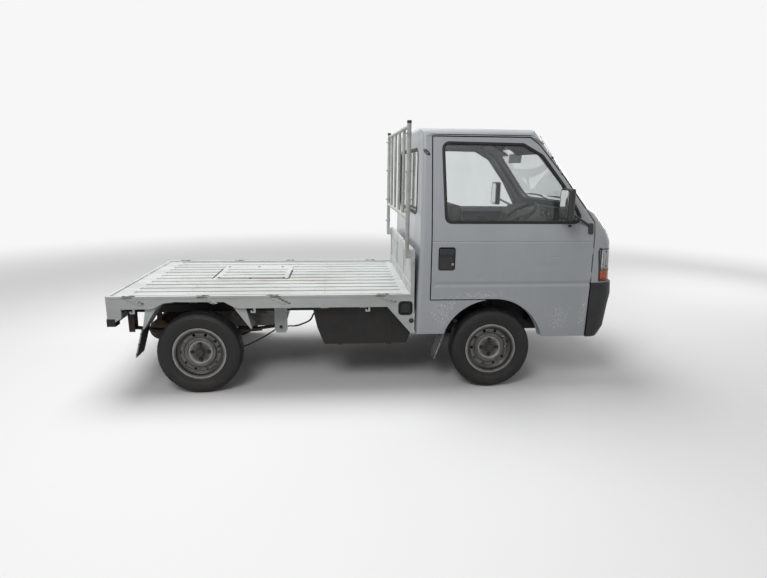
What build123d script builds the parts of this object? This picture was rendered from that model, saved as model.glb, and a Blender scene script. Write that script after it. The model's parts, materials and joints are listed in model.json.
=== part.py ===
"""Kei truck with its drop gates taken off, built panel by panel in millimetres.

X points forward, Y to the left and Z up. The origin is on the ground, under the
middle of the vehicle. The driver sits on the right.
"""

import math
import os

from build123d import *

os.makedirs("parts", exist_ok=True)

SIDES = {"left": 1, "right": -1}

# Whole vehicle
nose_tip_x = 1647.5
tail_x = -1647.5
wheelbase = 1900
front_axle_x = 800
rear_axle_x = front_axle_x - wheelbase
track = 1215
tyre_radius = 268
axle_z = tyre_radius

# Clearances
seat_gap = 0.3
running_gap = 0.1
shut_gap = 8
moving_gap = 6

# Cab skin: one row for each height
# columns: height, back x, front x on the centre line, half width, front corner radius
cab_sections = [
    (330, 293, 1585, 677, 95),
    (620, 297, 1615, 692, 105),
    (715, 300, 1624, 697, 110),
    (985, 308, 1610, 697, 112),
    (1065, 309, 1582, 691, 110),
    (1171, 311, 1502, 676, 105),
    (1205, 311, 1450, 672, 100),
    (1598, 312, 1152, 612, 85),
    (1740, 312, 1036, 590, 80),
]
cab_bow = 38
cab_rear_radius = 28
cab_bottom_z = 350
roof_z = 1712
roof_back_x = 312
header_z = 1600
quarter_bottom_z = 382
cowl_z = 1218
post_rear_x = 345

# Cab walls
door_depth = 46
door_lip = 11
frame_depth = 20
side_wall = door_depth + moving_gap + frame_depth
front_wall = 40
back_wall = 24
roof_wall = 30
glass_inset = 6
drip_rail = 8

# Lines pressed into the cab's sides, each a V that fades out at its rear end
# columns: first x, low edge z, bottom z, high edge z, y of the bottom; the edges are at press_y
press_y = 700
press_fade = 28
ledge_line = (388, 681, 714, 745, 690.5)
groove_line = (352, 978, 990, 1002, 693.8)

# Door
door_rear_x = 383
door_front_x = 1434
door_top_z = 1634
door_step = 14
frame_overlap = 30
hinge_x = door_front_x + shut_gap / 2
hinge_y = 694
hinge_pin_radius = 1.6
hinge_knuckle_radius = 3.2
hinge_heights = (770, 930)
hinge_length = 40
hinge_leaf = 3
handle = dict(x=(423, 532), z=(807, 956), bar=34, corner=14)
window_outline = [(470, 1113), (448, 1597), (958, 1592), (1080, 1525), (1228, 1336), (1360, 1113)]
window_corner = 35
mirror_head = dict(x=1205, y=775, low=1135, height=195, size=(42, 148), corner=16)
screen_low = 565
screen_high = 520
screen_corner = 60
rear_screen = dict(half_width=470, z=(1150, 1560), corner=60)

# Wheels
tyre_width = 145
rim_flange_radius = 168
rim_seat_radius = 152
rim_well_radius = 136
rim_half_width = 57
rim_sheet = 5
disc_offset = 16
vent_count = 10
vent_circle = 117
vent_radius = 10
spindle_radius = 15
hub_radius = 31
drum_radius = 100
drum_inner = -52
drum_outer = -10

# Front suspension and steering
arch_radius = 344
door_bottom_z = axle_z + arch_radius + 4
kingpin_low = (536, 195)
kingpin_high = (470, 610)
strut_foot = (488, 330)
strut_radius = 22
spring_radius = 42
arm_reach = 130
arm_y = 500
arm_drop = 46
arm_sheet = 16
rod_radius = 8
rack_z = 282
rack_half = 280
rack_tube_radius = 22
wheel_house_y = 370
wheel_house_wall = 12

# Chassis frame
rail_y = 290
rail_width = 60
rail_depth = 90
rail_top_z = 555
front_rail_top_z = 390
rail_kick_x = (940, 1098)
rail_tail_x = -1600
rail_nose_x = 1540
cross_x = (-1570, -1300, -520, -120, 260)

# Cab floor
floor_sheet = 12
seat_deck_z = 652
foot_x = 1120

# Bumper: one row for each height
# columns: height, front x on the centre line, half width, corner radius
bumper_sections = [
    (340, 1578, 683, 98),
    (414, 1618, 690, 104),
    (561, 1636, 693, 108),
    (640, 1647.5, 696, 110),
    (728, 1640, 697, 110),
]
bumper_z = (347, 721)
bumper_wall = 28
lamp_depth = 32
# Headlamp and corner lamp
# columns: rear x, inner y, outer y, low z, high z
lamp_table = [(1480, 392, 598, 748, 924), (1492, 610, 760, 729, 944)]

# Load bed
bed_z = 640
bed_front_x = 278
bed_rear_x = -1624
bed_plate = 18
bed_rail_y = 672
rail_skin = 24
bed_rail_z = (566, 648)
rib_pitch = 112
rib_count = 12
rib_depth = 6
rib_width = 32
rib_ends = (-1524, 204)
hatch_x = (-1120, -573)
hatch_y = (-95, 420)
hatch_ledge = 20
hatch_plate = 12
hatch_gap = 4
board_thickness = 24
board_top_z = 941
board_half = 668
guard_x = 228
guard_y = 640
guard_radius = 13
guard_tip_z = 1725
guard_top_z = 1690
guard_low_z = 1136
guard_bar_y = (-384, -128, 128, 384)
skirt_x = 150
hook_x = (-1482, -741, -13)


def side_plane(y=0):
    # X to the right and Z up, as seen from the right-hand side of the truck
    return Plane(origin=(0, y, 0), x_dir=(1, 0, 0), z_dir=(0, -1, 0))


def end_plane(x=0):
    # Y to the right and Z up, looking along the truck
    return Plane(origin=(x, 0, 0), x_dir=(0, 1, 0), z_dir=(1, 0, 0))


def wheel_plane(x, side):
    # Outward distance to the right and radius upwards, from a wheel's centre
    return Plane(origin=(x, side * track / 2, axle_z), x_dir=(0, side, 0), z_dir=(side, 0, 0))


def save(builder, label):
    builder.part.label = label
    export_step(builder.part, f"parts/{label}.step")


def side_block(outline, y_from, y_to, corner=0, grow=0):
    # A block with an outline in X and Z, between two values of Y
    with BuildPart() as block:
        with BuildSketch(side_plane(y_from)):
            with BuildLine():
                Polyline(*outline, close=True)
            make_face()
            if corner:
                fillet(vertices(), radius=corner)
            if grow:
                offset(amount=grow)
        extrude(amount=y_from - y_to)
    return block.part


def end_block(outline, x_from, x_to, corner=0, grow=0):
    # A block with an outline in Y and Z, between two values of X
    with BuildPart() as block:
        with BuildSketch(end_plane(x_from)):
            with BuildLine():
                Polyline(*outline, close=True)
            make_face()
            if corner:
                fillet(vertices(), radius=corner)
            if grow:
                offset(amount=grow)
        extrude(amount=x_to - x_from)
    return block.part


def box(x, y, z):
    # A block from three pairs of limits
    with BuildPart() as block:
        with BuildSketch(Plane.XY.offset(z[0])):
            with Locations(((x[0] + x[1]) / 2, (y[0] + y[1]) / 2)):
                Rectangle(x[1] - x[0], y[1] - y[0])
        extrude(amount=z[1] - z[0])
    return block.part


def corners(across, up):
    # The corners of a rectangle from two pairs of limits
    return [(across[0], up[0]), (across[1], up[0]), (across[1], up[1]), (across[0], up[1])]


def mirrored(side, y):
    # The limits of Y on one side of the truck
    return tuple(sorted((side * y[0], side * y[1])))


def rod(start, end, radius):
    start, end = Vector(*start), Vector(*end)
    with BuildPart() as bar:
        with BuildSketch(Plane(origin=start, z_dir=end - start)):
            Circle(radius)
        extrude(amount=(end - start).length)
    return bar.part


def cab_volume(side, front=None, back=None, top=None):
    # The closed body inside the cab's skin, set in from it by the given walls
    front = side if front is None else front
    back = side if back is None else back
    roof = roof_z - (side if top is None else top)
    low, high = cab_sections[0][0] - 60, cab_sections[-1][0] + 60
    with BuildPart() as volume:
        for z, back_x, front_x, half_width, corner in cab_sections:
            half, shoulder_x, rear_x = half_width - side, front_x - cab_bow - front, back_x + back
            with BuildSketch(Plane.XY.offset(z)):
                with BuildLine():
                    Polyline((shoulder_x, half), (rear_x, half), (rear_x, -half), (shoulder_x, -half))
                    ThreePointArc((shoulder_x, -half), (front_x - front, 0), (shoulder_x, half))
                make_face()
                fillet(vertices().sort_by(Axis.X)[2:], radius=max(corner - side, 20))
                fillet(vertices().sort_by(Axis.X)[:2], radius=max(cab_rear_radius - side, 6))
        loft(ruled=True)
        with BuildSketch(Plane.XZ):
            with BuildLine():
                rear = roof_back_x
                Polyline((rear - 60, low), (rear - 60, roof - 110), (rear, roof - 45))
                ThreePointArc((rear, roof - 45), (rear + 12, roof - 13), (rear + 45, roof))
                Line((rear + 45, roof), (700, roof))
                ThreePointArc((700, roof), (860, roof - 5), (1000, roof - 22))
                ThreePointArc((1000, roof - 22), (1078, roof - 50), (1137, roof - 95))
                Polyline(
                    (1137, roof - 95), (nose_tip_x + 200, cowl_z + 120),
                    (nose_tip_x + 200, low), (rear - 60, low),
                )
            make_face()
        extrude(amount=nose_tip_x, both=True, mode=Mode.INTERSECT)
        with BuildSketch(Plane.YZ):
            with BuildLine():
                ThreePointArc((-545, roof - 24), (0, roof), (545, roof - 24))
                ThreePointArc((545, roof - 24), (588, roof - 43), (606, roof - 74))
                Polyline(
                    (606, roof - 74), (780, roof - 260), (780, low),
                    (-780, low), (-780, roof - 260), (-606, roof - 74),
                )
                ThreePointArc((-606, roof - 74), (-588, roof - 43), (-545, roof - 24))
            make_face()
        extrude(amount=high, both=True, mode=Mode.INTERSECT)
    return volume.part


# Cab: nested volumes give every panel its thickness
skin = cab_volume(0)
outside = cab_volume(-drip_rail)
glass_face = cab_volume(glass_inset)
lip_volume = cab_volume(door_lip)
lamp_back = cab_volume(lamp_depth)
door_back = cab_volume(door_depth)
rebate = cab_volume(door_depth + moving_gap)
walls = (side_wall, front_wall, back_wall, roof_wall)
room = cab_volume(*walls)
cabin = cab_volume(*(wall + seat_gap for wall in walls))
nose_room = cab_volume(lamp_depth + front_wall)

wide = 760


def pressed_line(line, side, y_skin=press_y - 3):
    # The tool that presses one line into a side
    x, z_low, z_bottom, z_high, y_bottom = line
    vee = [(side * press_y, z_low), (side * y_bottom, z_bottom), (side * press_y, z_high)]
    with BuildPart() as fade:
        with BuildSketch(Plane.XY.offset(z_low)):
            with BuildLine():
                Polyline((x, side * y_skin), (x + press_fade, side * (y_bottom - 1)),
                         (nose_tip_x, side * (y_bottom - 1)), (nose_tip_x, side * (press_y + 1)),
                         (x, side * (press_y + 1)), close=True)
            make_face()
        extrude(amount=z_high - z_low)
    return end_block(vee, x, door_front_x + shut_gap) & fade.part


roof_edge_z = door_top_z + shut_gap
door_outline = [
    (door_rear_x, door_bottom_z), (door_rear_x, door_top_z), (1000, door_top_z), (1062, 1590),
    (1237, 1386), (1372, 1200), (door_front_x, 1110), (door_front_x, cab_bottom_z + 2),
    (front_axle_x, cab_bottom_z + 2), (front_axle_x, door_bottom_z),
]
opening_x = (door_rear_x + frame_overlap, door_front_x - frame_overlap)
opening_z = (seat_deck_z + frame_overlap, door_top_z - frame_overlap)
opening_outline = [
    (opening_x[0], opening_z[0]), (opening_x[0], opening_z[1]), (985, opening_z[1]), (1040, 1572),
    (1208, 1376), (1343, 1186), (opening_x[1], 1098), (opening_x[1], cab_bottom_z + 80),
    (foot_x + 50, cab_bottom_z + 80), (foot_x + 50, opening_z[0]),
]
front_edge_x = door_front_x + shut_gap
split_roof = [
    (200, roof_edge_z), (1004, roof_edge_z), (1096, header_z), (1800, header_z), (1800, 1900), (200, 1900),
]
split_nose = [
    (front_edge_x, bumper_z[1] + seat_gap), (front_edge_x, 1112), (1388, 1186), (1388, cowl_z),
    (1800, cowl_z), (1800, bumper_z[1] + seat_gap),
]
split_side = [
    (post_rear_x, quarter_bottom_z), (post_rear_x, roof_edge_z), (1004, roof_edge_z), (1096, header_z),
    (1700, header_z), (1700, cowl_z), (1388, cowl_z), (1388, 1186), (front_edge_x, 1112),
    (front_edge_x, cab_bottom_z), (front_axle_x, cab_bottom_z), (front_axle_x, quarter_bottom_z),
]
split_back = corners((200, post_rear_x), (quarter_bottom_z, roof_edge_z))

arch = rod((front_axle_x, -wide, axle_z), (front_axle_x, wide, axle_z), arch_radius)
door_arch = rod((front_axle_x, -wide, axle_z), (front_axle_x, wide, axle_z), door_bottom_z - axle_z)
screen_z = (cowl_z - 6, header_z + 6)
screen_outline = [
    (-screen_low, screen_z[0]), (screen_low, screen_z[0]), (screen_high, screen_z[1]),
    (-screen_high, screen_z[1]),
]
rear_outline = corners((-rear_screen["half_width"], rear_screen["half_width"]), rear_screen["z"])
screen_hole = end_block(screen_outline, 900, 1700, screen_corner)
rear_hole = end_block(rear_outline, 200, 420, rear_screen["corner"])
opening = side_block(opening_outline, -wide, wide, 20)
aperture = side_block(door_outline, -wide, wide, grow=shut_gap) - rebate


def shell_panel(outline, y_to=wide):
    # The skin is split before it is hollowed, so that every panel's mesh closes
    panel = (skin & side_block(outline, -wide, y_to)) - room - screen_hole - rear_hole - arch
    return panel - opening - aperture


with BuildPart() as cab_roof:
    add(shell_panel(split_roof))
    drip_line = [
        (post_rear_x, roof_edge_z), (1004, roof_edge_z), (1096, header_z), (1100, header_z + 9),
        (1007, roof_edge_z + 9), (post_rear_x, roof_edge_z + 9),
    ]
    for side in SIDES.values():
        add((outside - door_back) & side_block(drip_line, side * screen_high, side * wide))
save(cab_roof, "cab_roof")

with BuildPart() as cab_back:
    add(shell_panel(split_back))
    # The lower middle is open for the chassis frame
    bay_y = rail_y + rail_width + 220
    frame_bay = box((200, post_rear_x), (-bay_y, bay_y), (cab_bottom_z, rail_top_z + 20))
    add(frame_bay, mode=Mode.SUBTRACT)
save(cab_back, "cab_back")

with BuildPart() as cab_sides:
    add(shell_panel(split_side, 0))
    add(pressed_line(groove_line, SIDES["right"]), mode=Mode.SUBTRACT)
    mirror(about=Plane.XZ)
save(cab_sides, "cab_sides")


def lamp_boxes(grow):
    # Headlamps and the corner lamps that wrap round to the sides
    boxes = []
    for side in SIDES.values():
        for x, y_inner, y_outer, low, high in lamp_table:
            y = mirrored(side, (y_inner - grow, y_outer + grow))
            boxes.append(box((x - grow, nose_tip_x + 50), y, (low - grow, high + grow)))
    return boxes


with BuildPart() as cab_nose:
    upper = shell_panel(split_nose)
    low_wall = (lamp_back - nose_room) & box(
        (front_edge_x, 1700), (-wide, wide), (front_rail_top_z + floor_sheet + seat_gap, 760)
    )
    add(upper)
    add(low_wall)
    for lamp in lamp_boxes(0.5):
        add(lamp - lamp_back, mode=Mode.SUBTRACT)
    for side in SIDES.values():
        leaf_y = mirrored(side, (hinge_y - hinge_leaf / 2, hinge_y + hinge_leaf / 2))
        for z in hinge_heights:
            half = hinge_length / 6
            for half, radius in ((3 * half, hinge_pin_radius), (half, hinge_knuckle_radius)):
                add(rod((hinge_x, side * hinge_y, z - half), (hinge_x, side * hinge_y, z + half), radius))
            add(box((hinge_x, front_edge_x + 6), leaf_y, (z - half, z + half)))
save(cab_nose, "cab_nose")

with BuildPart() as front_lamps:
    for lamp in lamp_boxes(0):
        add(lamp & (skin - lamp_back))
save(front_lamps, "front_lamps")

with BuildPart() as cab_glass:
    pane = glass_face - lip_volume
    add(pane & end_block(screen_outline, 900, 1700, screen_corner, -seat_gap))
    add(pane & end_block(rear_outline, 200, 420, rear_screen["corner"], -seat_gap))
save(cab_glass, "cab_glass")


def door_half(outline, side, corner=0, grow=0):
    return side_block(outline, 0, side * wide, corner, grow)


def make_door(name, side):
    with BuildPart() as door:
        add((skin - lip_volume) & door_half(door_outline, side))
        add((skin - door_back) & door_half(door_outline, side, grow=-door_step))
        add(door_arch, mode=Mode.SUBTRACT)
        add(door_half(window_outline, side, window_corner), mode=Mode.SUBTRACT)
        recess = corners(handle["x"], handle["z"])
        add(door_half(recess, side, handle["corner"]) - lip_volume, mode=Mode.SUBTRACT)
        top = handle["z"][1] - handle["corner"]
        bar = corners((handle["x"][0] + 8, handle["x"][1] - 8), (top - handle["bar"], top))
        add((skin - door_back) & door_half(bar, side, 6))
        for line in (ledge_line, groove_line):
            add(pressed_line(line, side), mode=Mode.SUBTRACT)
        for hinge_z in hinge_heights:
            for low, high in ((-0.5, -1 / 6), (1 / 6, 0.5)):
                z_low = hinge_z + low * hinge_length + (seat_gap if low > 0 else 0)
                z_high = hinge_z + high * hinge_length - (seat_gap if high < 0 else 0)
                foot, head = (hinge_x, side * hinge_y, z_low), (hinge_x, side * hinge_y, z_high)
                leaf_y = mirrored(side, (hinge_y - hinge_leaf / 2, hinge_y + hinge_leaf / 2))
                add(rod(foot, head, hinge_knuckle_radius))
                add(box((door_front_x - 6, hinge_x), leaf_y, (z_low, z_high)))
                add(rod(foot, head, hinge_pin_radius + running_gap), mode=Mode.SUBTRACT)
    save(door, f"door_{name}")
    with BuildPart() as glass:
        add((glass_face - lip_volume) & door_half(window_outline, side, window_corner, -seat_gap))
    save(glass, f"door_glass_{name}")
    with BuildPart() as mirror:
        with BuildSketch(Plane.XY.offset(mirror_head["low"])):
            with Locations((mirror_head["x"], side * mirror_head["y"])):
                RectangleRounded(*mirror_head["size"], mirror_head["corner"])
        extrude(amount=mirror_head["height"])
        for level in (0, -1):
            fillet(mirror.edges().group_by(Axis.Z)[level], radius=12)
        add((outside - cab_volume(-seat_gap)) & door_half(corners((1392, 1424), (1040, 1108)), side, 6))
        add(rod((1406, side * 688, 1090), (1216, side * 762, 1190), 8))
        add(cab_volume(-seat_gap), mode=Mode.SUBTRACT)
    save(mirror, f"door_mirror_{name}")


for name, side in SIDES.items():
    make_door(name, side)

# Cab floor with the wheel houses, which hold the upper ends of the front struts
kingpin_axis = Vector(0, kingpin_high[0] - kingpin_low[0], kingpin_high[1] - kingpin_low[1])


def kingpin_plane(side, z):
    # A plane square to the steering axis, at a height of the axis
    share = (z - kingpin_low[1]) / (kingpin_high[1] - kingpin_low[1])
    y = kingpin_low[0] + share * (kingpin_high[0] - kingpin_low[0])
    return Plane(
        origin=(front_axle_x, side * y, z), x_dir=(1, 0, 0),
        z_dir=(0, side * kingpin_axis.Y, kingpin_axis.Z),
    )


deck_low_z = seat_deck_z - floor_sheet
with BuildPart() as cab_floor:
    foot_low_z = front_rail_top_z
    profile = [
        (post_rear_x + 6, deck_low_z), (foot_x, deck_low_z), (foot_x, foot_low_z), (1560, foot_low_z),
        (1560, foot_low_z + floor_sheet), (foot_x + floor_sheet, foot_low_z + floor_sheet),
        (foot_x + floor_sheet, seat_deck_z), (post_rear_x + 6, seat_deck_z),
    ]
    add(side_block(profile, -wide, wide) & cabin)
    for side in SIDES.values():
        wall_y = mirrored(side, (wheel_house_y - wheel_house_wall, wheel_house_y))
        add(box((post_rear_x + 6, foot_x), wall_y, (foot_low_z, deck_low_z)))
        splash = [(545, deck_low_z), (557, deck_low_z), (526, 420), (514, 420)]
        y = mirrored(side, (wheel_house_y - wheel_house_wall, 640))
        add(side_block(splash, y[0], y[1]) & cabin)
        with BuildSketch(kingpin_plane(side, kingpin_high[1])):
            Circle(48)
        extrude(amount=deck_low_z - kingpin_high[1] + 2)
save(cab_floor, "cab_floor")

column_tilt = math.radians(35)
wheel_centre = Vector(1010, -350, 1110)
column_axis = Vector(-math.sin(column_tilt), 0, math.cos(column_tilt))
column_length = 425
column_radius = 22
column_gap = 36
steer_shaft_radius = 9

with BuildPart() as dashboard:
    profile = [
        (1560, 764), (1262, 764), (1228, 820), (1205, 1000), (1212, 1085), (1270, 1142), (1400, 1172),
        (1560, 1080),
    ]
    add(side_block(profile, -wide, wide) & cabin)
    hood = [(1240, 1110), (1330, 1110), (1352, 1180), (1236, 1196)]
    add(side_block(hood, wheel_centre.Y - 130, wheel_centre.Y + 130, 10))
    top, foot = wheel_centre - column_axis * column_gap, wheel_centre - column_axis * column_length
    add(rod(top, foot, column_radius))
    add(rod((1290, wheel_centre.Y, 790), (1350, wheel_centre.Y, front_rail_top_z + floor_sheet + 2.6), 10))
    bore_end = wheel_centre - column_axis * (column_gap + 80)
    bore = rod(top, bore_end, steer_shaft_radius + running_gap)
    add(bore, mode=Mode.SUBTRACT)
save(dashboard, "dashboard")

with BuildPart() as steering_wheel:
    with BuildSketch(Plane(origin=wheel_centre, x_dir=(0, 1, 0), z_dir=column_axis)):
        Circle(34)
        with PolarLocations(0, 3, start_angle=90):
            with Locations((85, 0)):
                Rectangle(170, 26)
    extrude(amount=-9)
    with BuildSketch(Plane(origin=wheel_centre, x_dir=(0, 1, 0), z_dir=column_axis)):
        Circle(34)
    extrude(amount=-30)
    rim_start = Plane(origin=wheel_centre, x_dir=(0, 1, 0), z_dir=column_axis)
    with BuildSketch(Plane(origin=wheel_centre, x_dir=(0, 1, 0), z_dir=rim_start.y_dir)):
        with Locations((172, 0)):
            Circle(12)
    revolve(axis=Axis(wheel_centre, column_axis))
    shaft_top = wheel_centre - column_axis * 20
    shaft_end = wheel_centre - column_axis * (column_gap + 78)
    add(rod(shaft_top, shaft_end, steer_shaft_radius))
save(steering_wheel, "steering_wheel")

# Seats, which the looks replace
seat_half = 228
seat_y = 350
seat_base_z = seat_deck_z + seat_gap
with BuildPart() as seat_cushions:
    for side in SIDES.values():
        outline = [(642, seat_base_z), (1076, seat_base_z), (1086, 786), (642, 762)]
        add(side_block(outline, side * seat_y - seat_half, side * seat_y + seat_half, 24))
save(seat_cushions, "seat_cushions")

with BuildPart() as seat_backs:
    for side in SIDES.values():
        outline = [(524, seat_base_z), (640, seat_base_z), (602, 1229), (504, 1229)]
        add(side_block(outline, side * seat_y - seat_half, side * seat_y + seat_half, 30))
save(seat_backs, "seat_backs")

with BuildPart() as interior_mirror:
    add(side_block([(1094, 1486), (1116, 1486), (1120, 1552), (1098, 1552)], -112, 112, 8))
    add(rod((1108, 0, 1540), (1050, 0, 1680), 6) & cabin)
save(interior_mirror, "interior_mirror")


def bumper_volume(inset):
    with BuildPart() as volume:
        for z, front_x, half_width, corner in bumper_sections:
            half, shoulder_x = half_width - inset, front_x - cab_bow - inset
            with BuildSketch(Plane.XY.offset(z)):
                with BuildLine():
                    Polyline((shoulder_x, half), (1300, half), (1300, -half), (shoulder_x, -half))
                    ThreePointArc((shoulder_x, -half), (front_x - inset, 0), (shoulder_x, half))
                make_face()
                fillet(vertices().sort_by(Axis.X)[2:], radius=corner - inset)
        loft(ruled=True)
    return volume.part


with BuildPart() as front_bumper:
    reach = box((front_edge_x, nose_tip_x + 20), (-wide, wide), bumper_z)
    add((bumper_volume(0) - bumper_volume(bumper_wall)) & reach)
    for slot_z in (430, 462, 494, 526):
        add(box((1560, 1700), (-300, 300), (slot_z, slot_z + 18)), mode=Mode.SUBTRACT)
save(front_bumper, "front_bumper")


# Chassis frame
def make_frame():
    low = rail_top_z - rail_depth
    front_low = front_rail_top_z - rail_depth + 10
    outline = [
        (rail_tail_x, low), (rail_kick_x[0], low), (rail_kick_x[1], front_low), (rail_nose_x, front_low),
        (rail_nose_x, front_rail_top_z), (rail_kick_x[1] + 20, front_rail_top_z),
        (rail_kick_x[0] + 20, rail_top_z), (rail_tail_x, rail_top_z),
    ]
    with BuildPart() as frame:
        for side in SIDES.values():
            y = mirrored(side, (rail_y, rail_y + rail_width))
            add(side_block(outline, y[0], y[1]))
        for x in cross_x:
            add(box((x - 30, x + 30), (-rail_y - 5, rail_y + 5), (low + 15, rail_top_z - 15)))
        nose_z = (front_low + 10, front_rail_top_z - 10)
        add(box((rail_nose_x - 60, rail_nose_x), (-rail_y - 5, rail_y + 5), nose_z))
        # Front cross member, hung from the rails, with a lower arm on each side
        add(box((front_axle_x - 45, front_axle_x + 45), (-rail_y - 20, rail_y + 20), (165, 235)))
        for side in SIDES.values():
            y = mirrored(side, (rail_y, rail_y + 20))
            add(box((front_axle_x - 45, front_axle_x + 45), y, (165, low + 10)))
            ball = kingpin_plane(side, kingpin_low[1] - 8)
            with BuildSketch(Plane.XY.offset(158)):
                with BuildLine():
                    tip, root = side * (kingpin_low[0] + 4), side * rail_y
                    Polyline(
                        (front_axle_x - 90, root), (front_axle_x + 60, root), (front_axle_x + 18, tip),
                        (front_axle_x - 18, tip), close=True,
                    )
                make_face()
            extrude(amount=16)
            with BuildSketch(ball):
                Circle(10)
            extrude(amount=-20)
        # Housing of the steering rack
        rack_x = front_axle_x + arm_reach
        add(rod((rack_x, -rack_half, rack_z), (rack_x, rack_half, rack_z), rack_tube_radius))
        for side in SIDES.values():
            y = mirrored(side, (200, 230))
            add(box((front_axle_x + 20, rack_x), y, (200, rack_z + 10)))
        bore_y = rack_half + 1
        bore = rod((rack_x, -bore_y, rack_z), (rack_x, bore_y, rack_z), rod_radius + running_gap)
        add(bore, mode=Mode.SUBTRACT)
    save(frame, "chassis_frame")


make_frame()

with BuildPart() as tie_rods:
    rack_x = front_axle_x + arm_reach
    add(rod((rack_x, -arm_y, rack_z), (rack_x, arm_y, rack_z), rod_radius))
    for side in SIDES.values():
        add(rod((rack_x, side * arm_y, rack_z - 10), (rack_x, side * arm_y, rack_z + 10), 12))
save(tie_rods, "tie_rods")


# Wheels
def make_wheel(name, x, side):
    plane = wheel_plane(x, side)
    axle = Axis(plane.origin, (0, 1, 0))
    half = tyre_width / 2
    with BuildPart() as tyre:
        with BuildSketch(plane):
            with BuildLine():
                bead, seat = rim_half_width - 5.5, rim_seat_radius + seat_gap
                flange = rim_flange_radius + 2 * seat_gap
                side_wall_line = [
                    (bead, seat), (bead, flange), (half, flange + 38), (half - 6, tyre_radius - 17),
                    (half - 25, tyre_radius),
                ]
                Polyline(*side_wall_line, *[(-y, radius) for y, radius in side_wall_line[::-1]], close=True)
            make_face()
        revolve(axis=axle)
    save(tyre, f"tyre_{name}")

    seat, well, edge = rim_seat_radius, rim_well_radius, rim_half_width
    barrel = [
        (-edge, rim_flange_radius), (-edge + 4, rim_flange_radius), (-edge + 5, seat), (-26, seat - 2),
        (-16, well), (24, well), (34, seat - 2), (edge - 5, seat), (edge - 4, rim_flange_radius),
        (edge, rim_flange_radius), (edge, seat - rim_sheet), (36, seat - 7), (26, well - rim_sheet),
        (-18, well - rim_sheet), (-28, seat - 7), (-edge, seat - rim_sheet),
    ]
    face = disc_offset
    disc = [
        (face, well - 2), (face, 100), (face + 10, 94), (face + 10, 84), (face, 76), (face, 4),
        (face + 6, 4), (face + 6, 73), (face + 16, 82), (face + 16, 96), (face + 6, 104),
        (face + 6, well - 2),
    ]
    with BuildPart() as rim:
        with BuildSketch(plane):
            for outline in (barrel, disc):
                with BuildLine():
                    Polyline(*outline, close=True)
                make_face()
        revolve(axis=axle)
        hub_face = Plane(origin=plane.origin + Vector(0, side * -4, 0), x_dir=(1, 0, 0), z_dir=(0, side, 0))
        with BuildSketch(hub_face):
            Circle(hub_radius)
        extrude(amount=38)
        with BuildSketch(hub_face.offset(38)):
            Circle(24)
        extrude(amount=14)
        with BuildSketch(hub_face):
            with PolarLocations(vent_circle, vent_count):
                Circle(vent_radius)
        extrude(amount=60, mode=Mode.SUBTRACT)
        with BuildSketch(hub_face):
            Circle(spindle_radius + running_gap)
        extrude(amount=30, mode=Mode.SUBTRACT)
    save(rim, f"rim_{name}")


for name, side in SIDES.items():
    make_wheel(f"front_{name}", front_axle_x, side)
    make_wheel(f"rear_{name}", rear_axle_x, side)


def hub_carrier(x, side):
    # Brake drum and spindle of one wheel
    y = side * track / 2
    with BuildPart() as carrier:
        add(rod((x, y + side * drum_inner, axle_z), (x, y + side * drum_outer, axle_z), drum_radius))
        add(rod((x, y + side * drum_outer, axle_z), (x, y + side * 25, axle_z), spindle_radius))
    return carrier.part


def make_knuckle(name, side):
    drum_y = track / 2 + drum_inner
    with BuildPart() as knuckle:
        add(hub_carrier(front_axle_x, side))
        upright = [
            (side * drum_y, 215), (side * drum_y, 352), (side * 512, 392), (side * 462, 392),
            (side * 462, 318), (side * 516, 296), (side * 522, 215),
        ]
        add(end_block(upright, front_axle_x - 24, front_axle_x + 24))
        with BuildSketch(kingpin_plane(side, kingpin_low[1] - 8 + seat_gap)):
            Circle(10)
        extrude(amount=40)
        # Strut with its spring
        foot = Vector(front_axle_x, side * strut_foot[0], strut_foot[1])
        top_plane = kingpin_plane(side, kingpin_high[1] - seat_gap)
        head = top_plane.origin
        add(rod(foot, (head - top_plane.z_dir * 8), strut_radius))
        with BuildSketch(top_plane):
            Circle(40)
        extrude(amount=-14)
        for turn in range(5):
            spot = foot + (head - foot) * (0.5 + 0.09 * turn)
            with BuildSketch(Plane(origin=spot, z_dir=head - foot)):
                Circle(spring_radius)
            extrude(amount=12)
        # Steering arm
        with BuildSketch(Plane.XY.offset(rack_z - arm_drop)):
            with BuildLine():
                Polyline(
                    (front_axle_x, side * 548), (front_axle_x, side * 518),
                    (front_axle_x + arm_reach, side * (arm_y - 12)),
                    (front_axle_x + arm_reach, side * (arm_y + 12)), close=True,
                )
            make_face()
        extrude(amount=arm_sheet)
        with BuildSketch(Plane.XY.offset(rack_z - arm_drop)):
            with Locations((front_axle_x + arm_reach, side * arm_y)):
                Circle(14)
        extrude(amount=arm_sheet)
    save(knuckle, f"knuckle_{name}")


for name, side in SIDES.items():
    make_knuckle(name, side)

# Engine and gearbox under the bed, with their two mounts
engine_x = (-1000, -600)
engine_y = (-150, 265)
engine_z = (300, 540)
with BuildPart() as engine_block:
    add(box(engine_x, engine_y, engine_z))
    add(box((rear_axle_x - 50, engine_x[0] + 1), (-150, 150), (190, 410)))
    for x in (engine_x[0] + 50, engine_x[1] - 50):
        add(box((x - 20, x + 20), (-rail_y + seat_gap, rail_y - seat_gap), (490, 520)))
save(engine_block, "engine_block")

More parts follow.
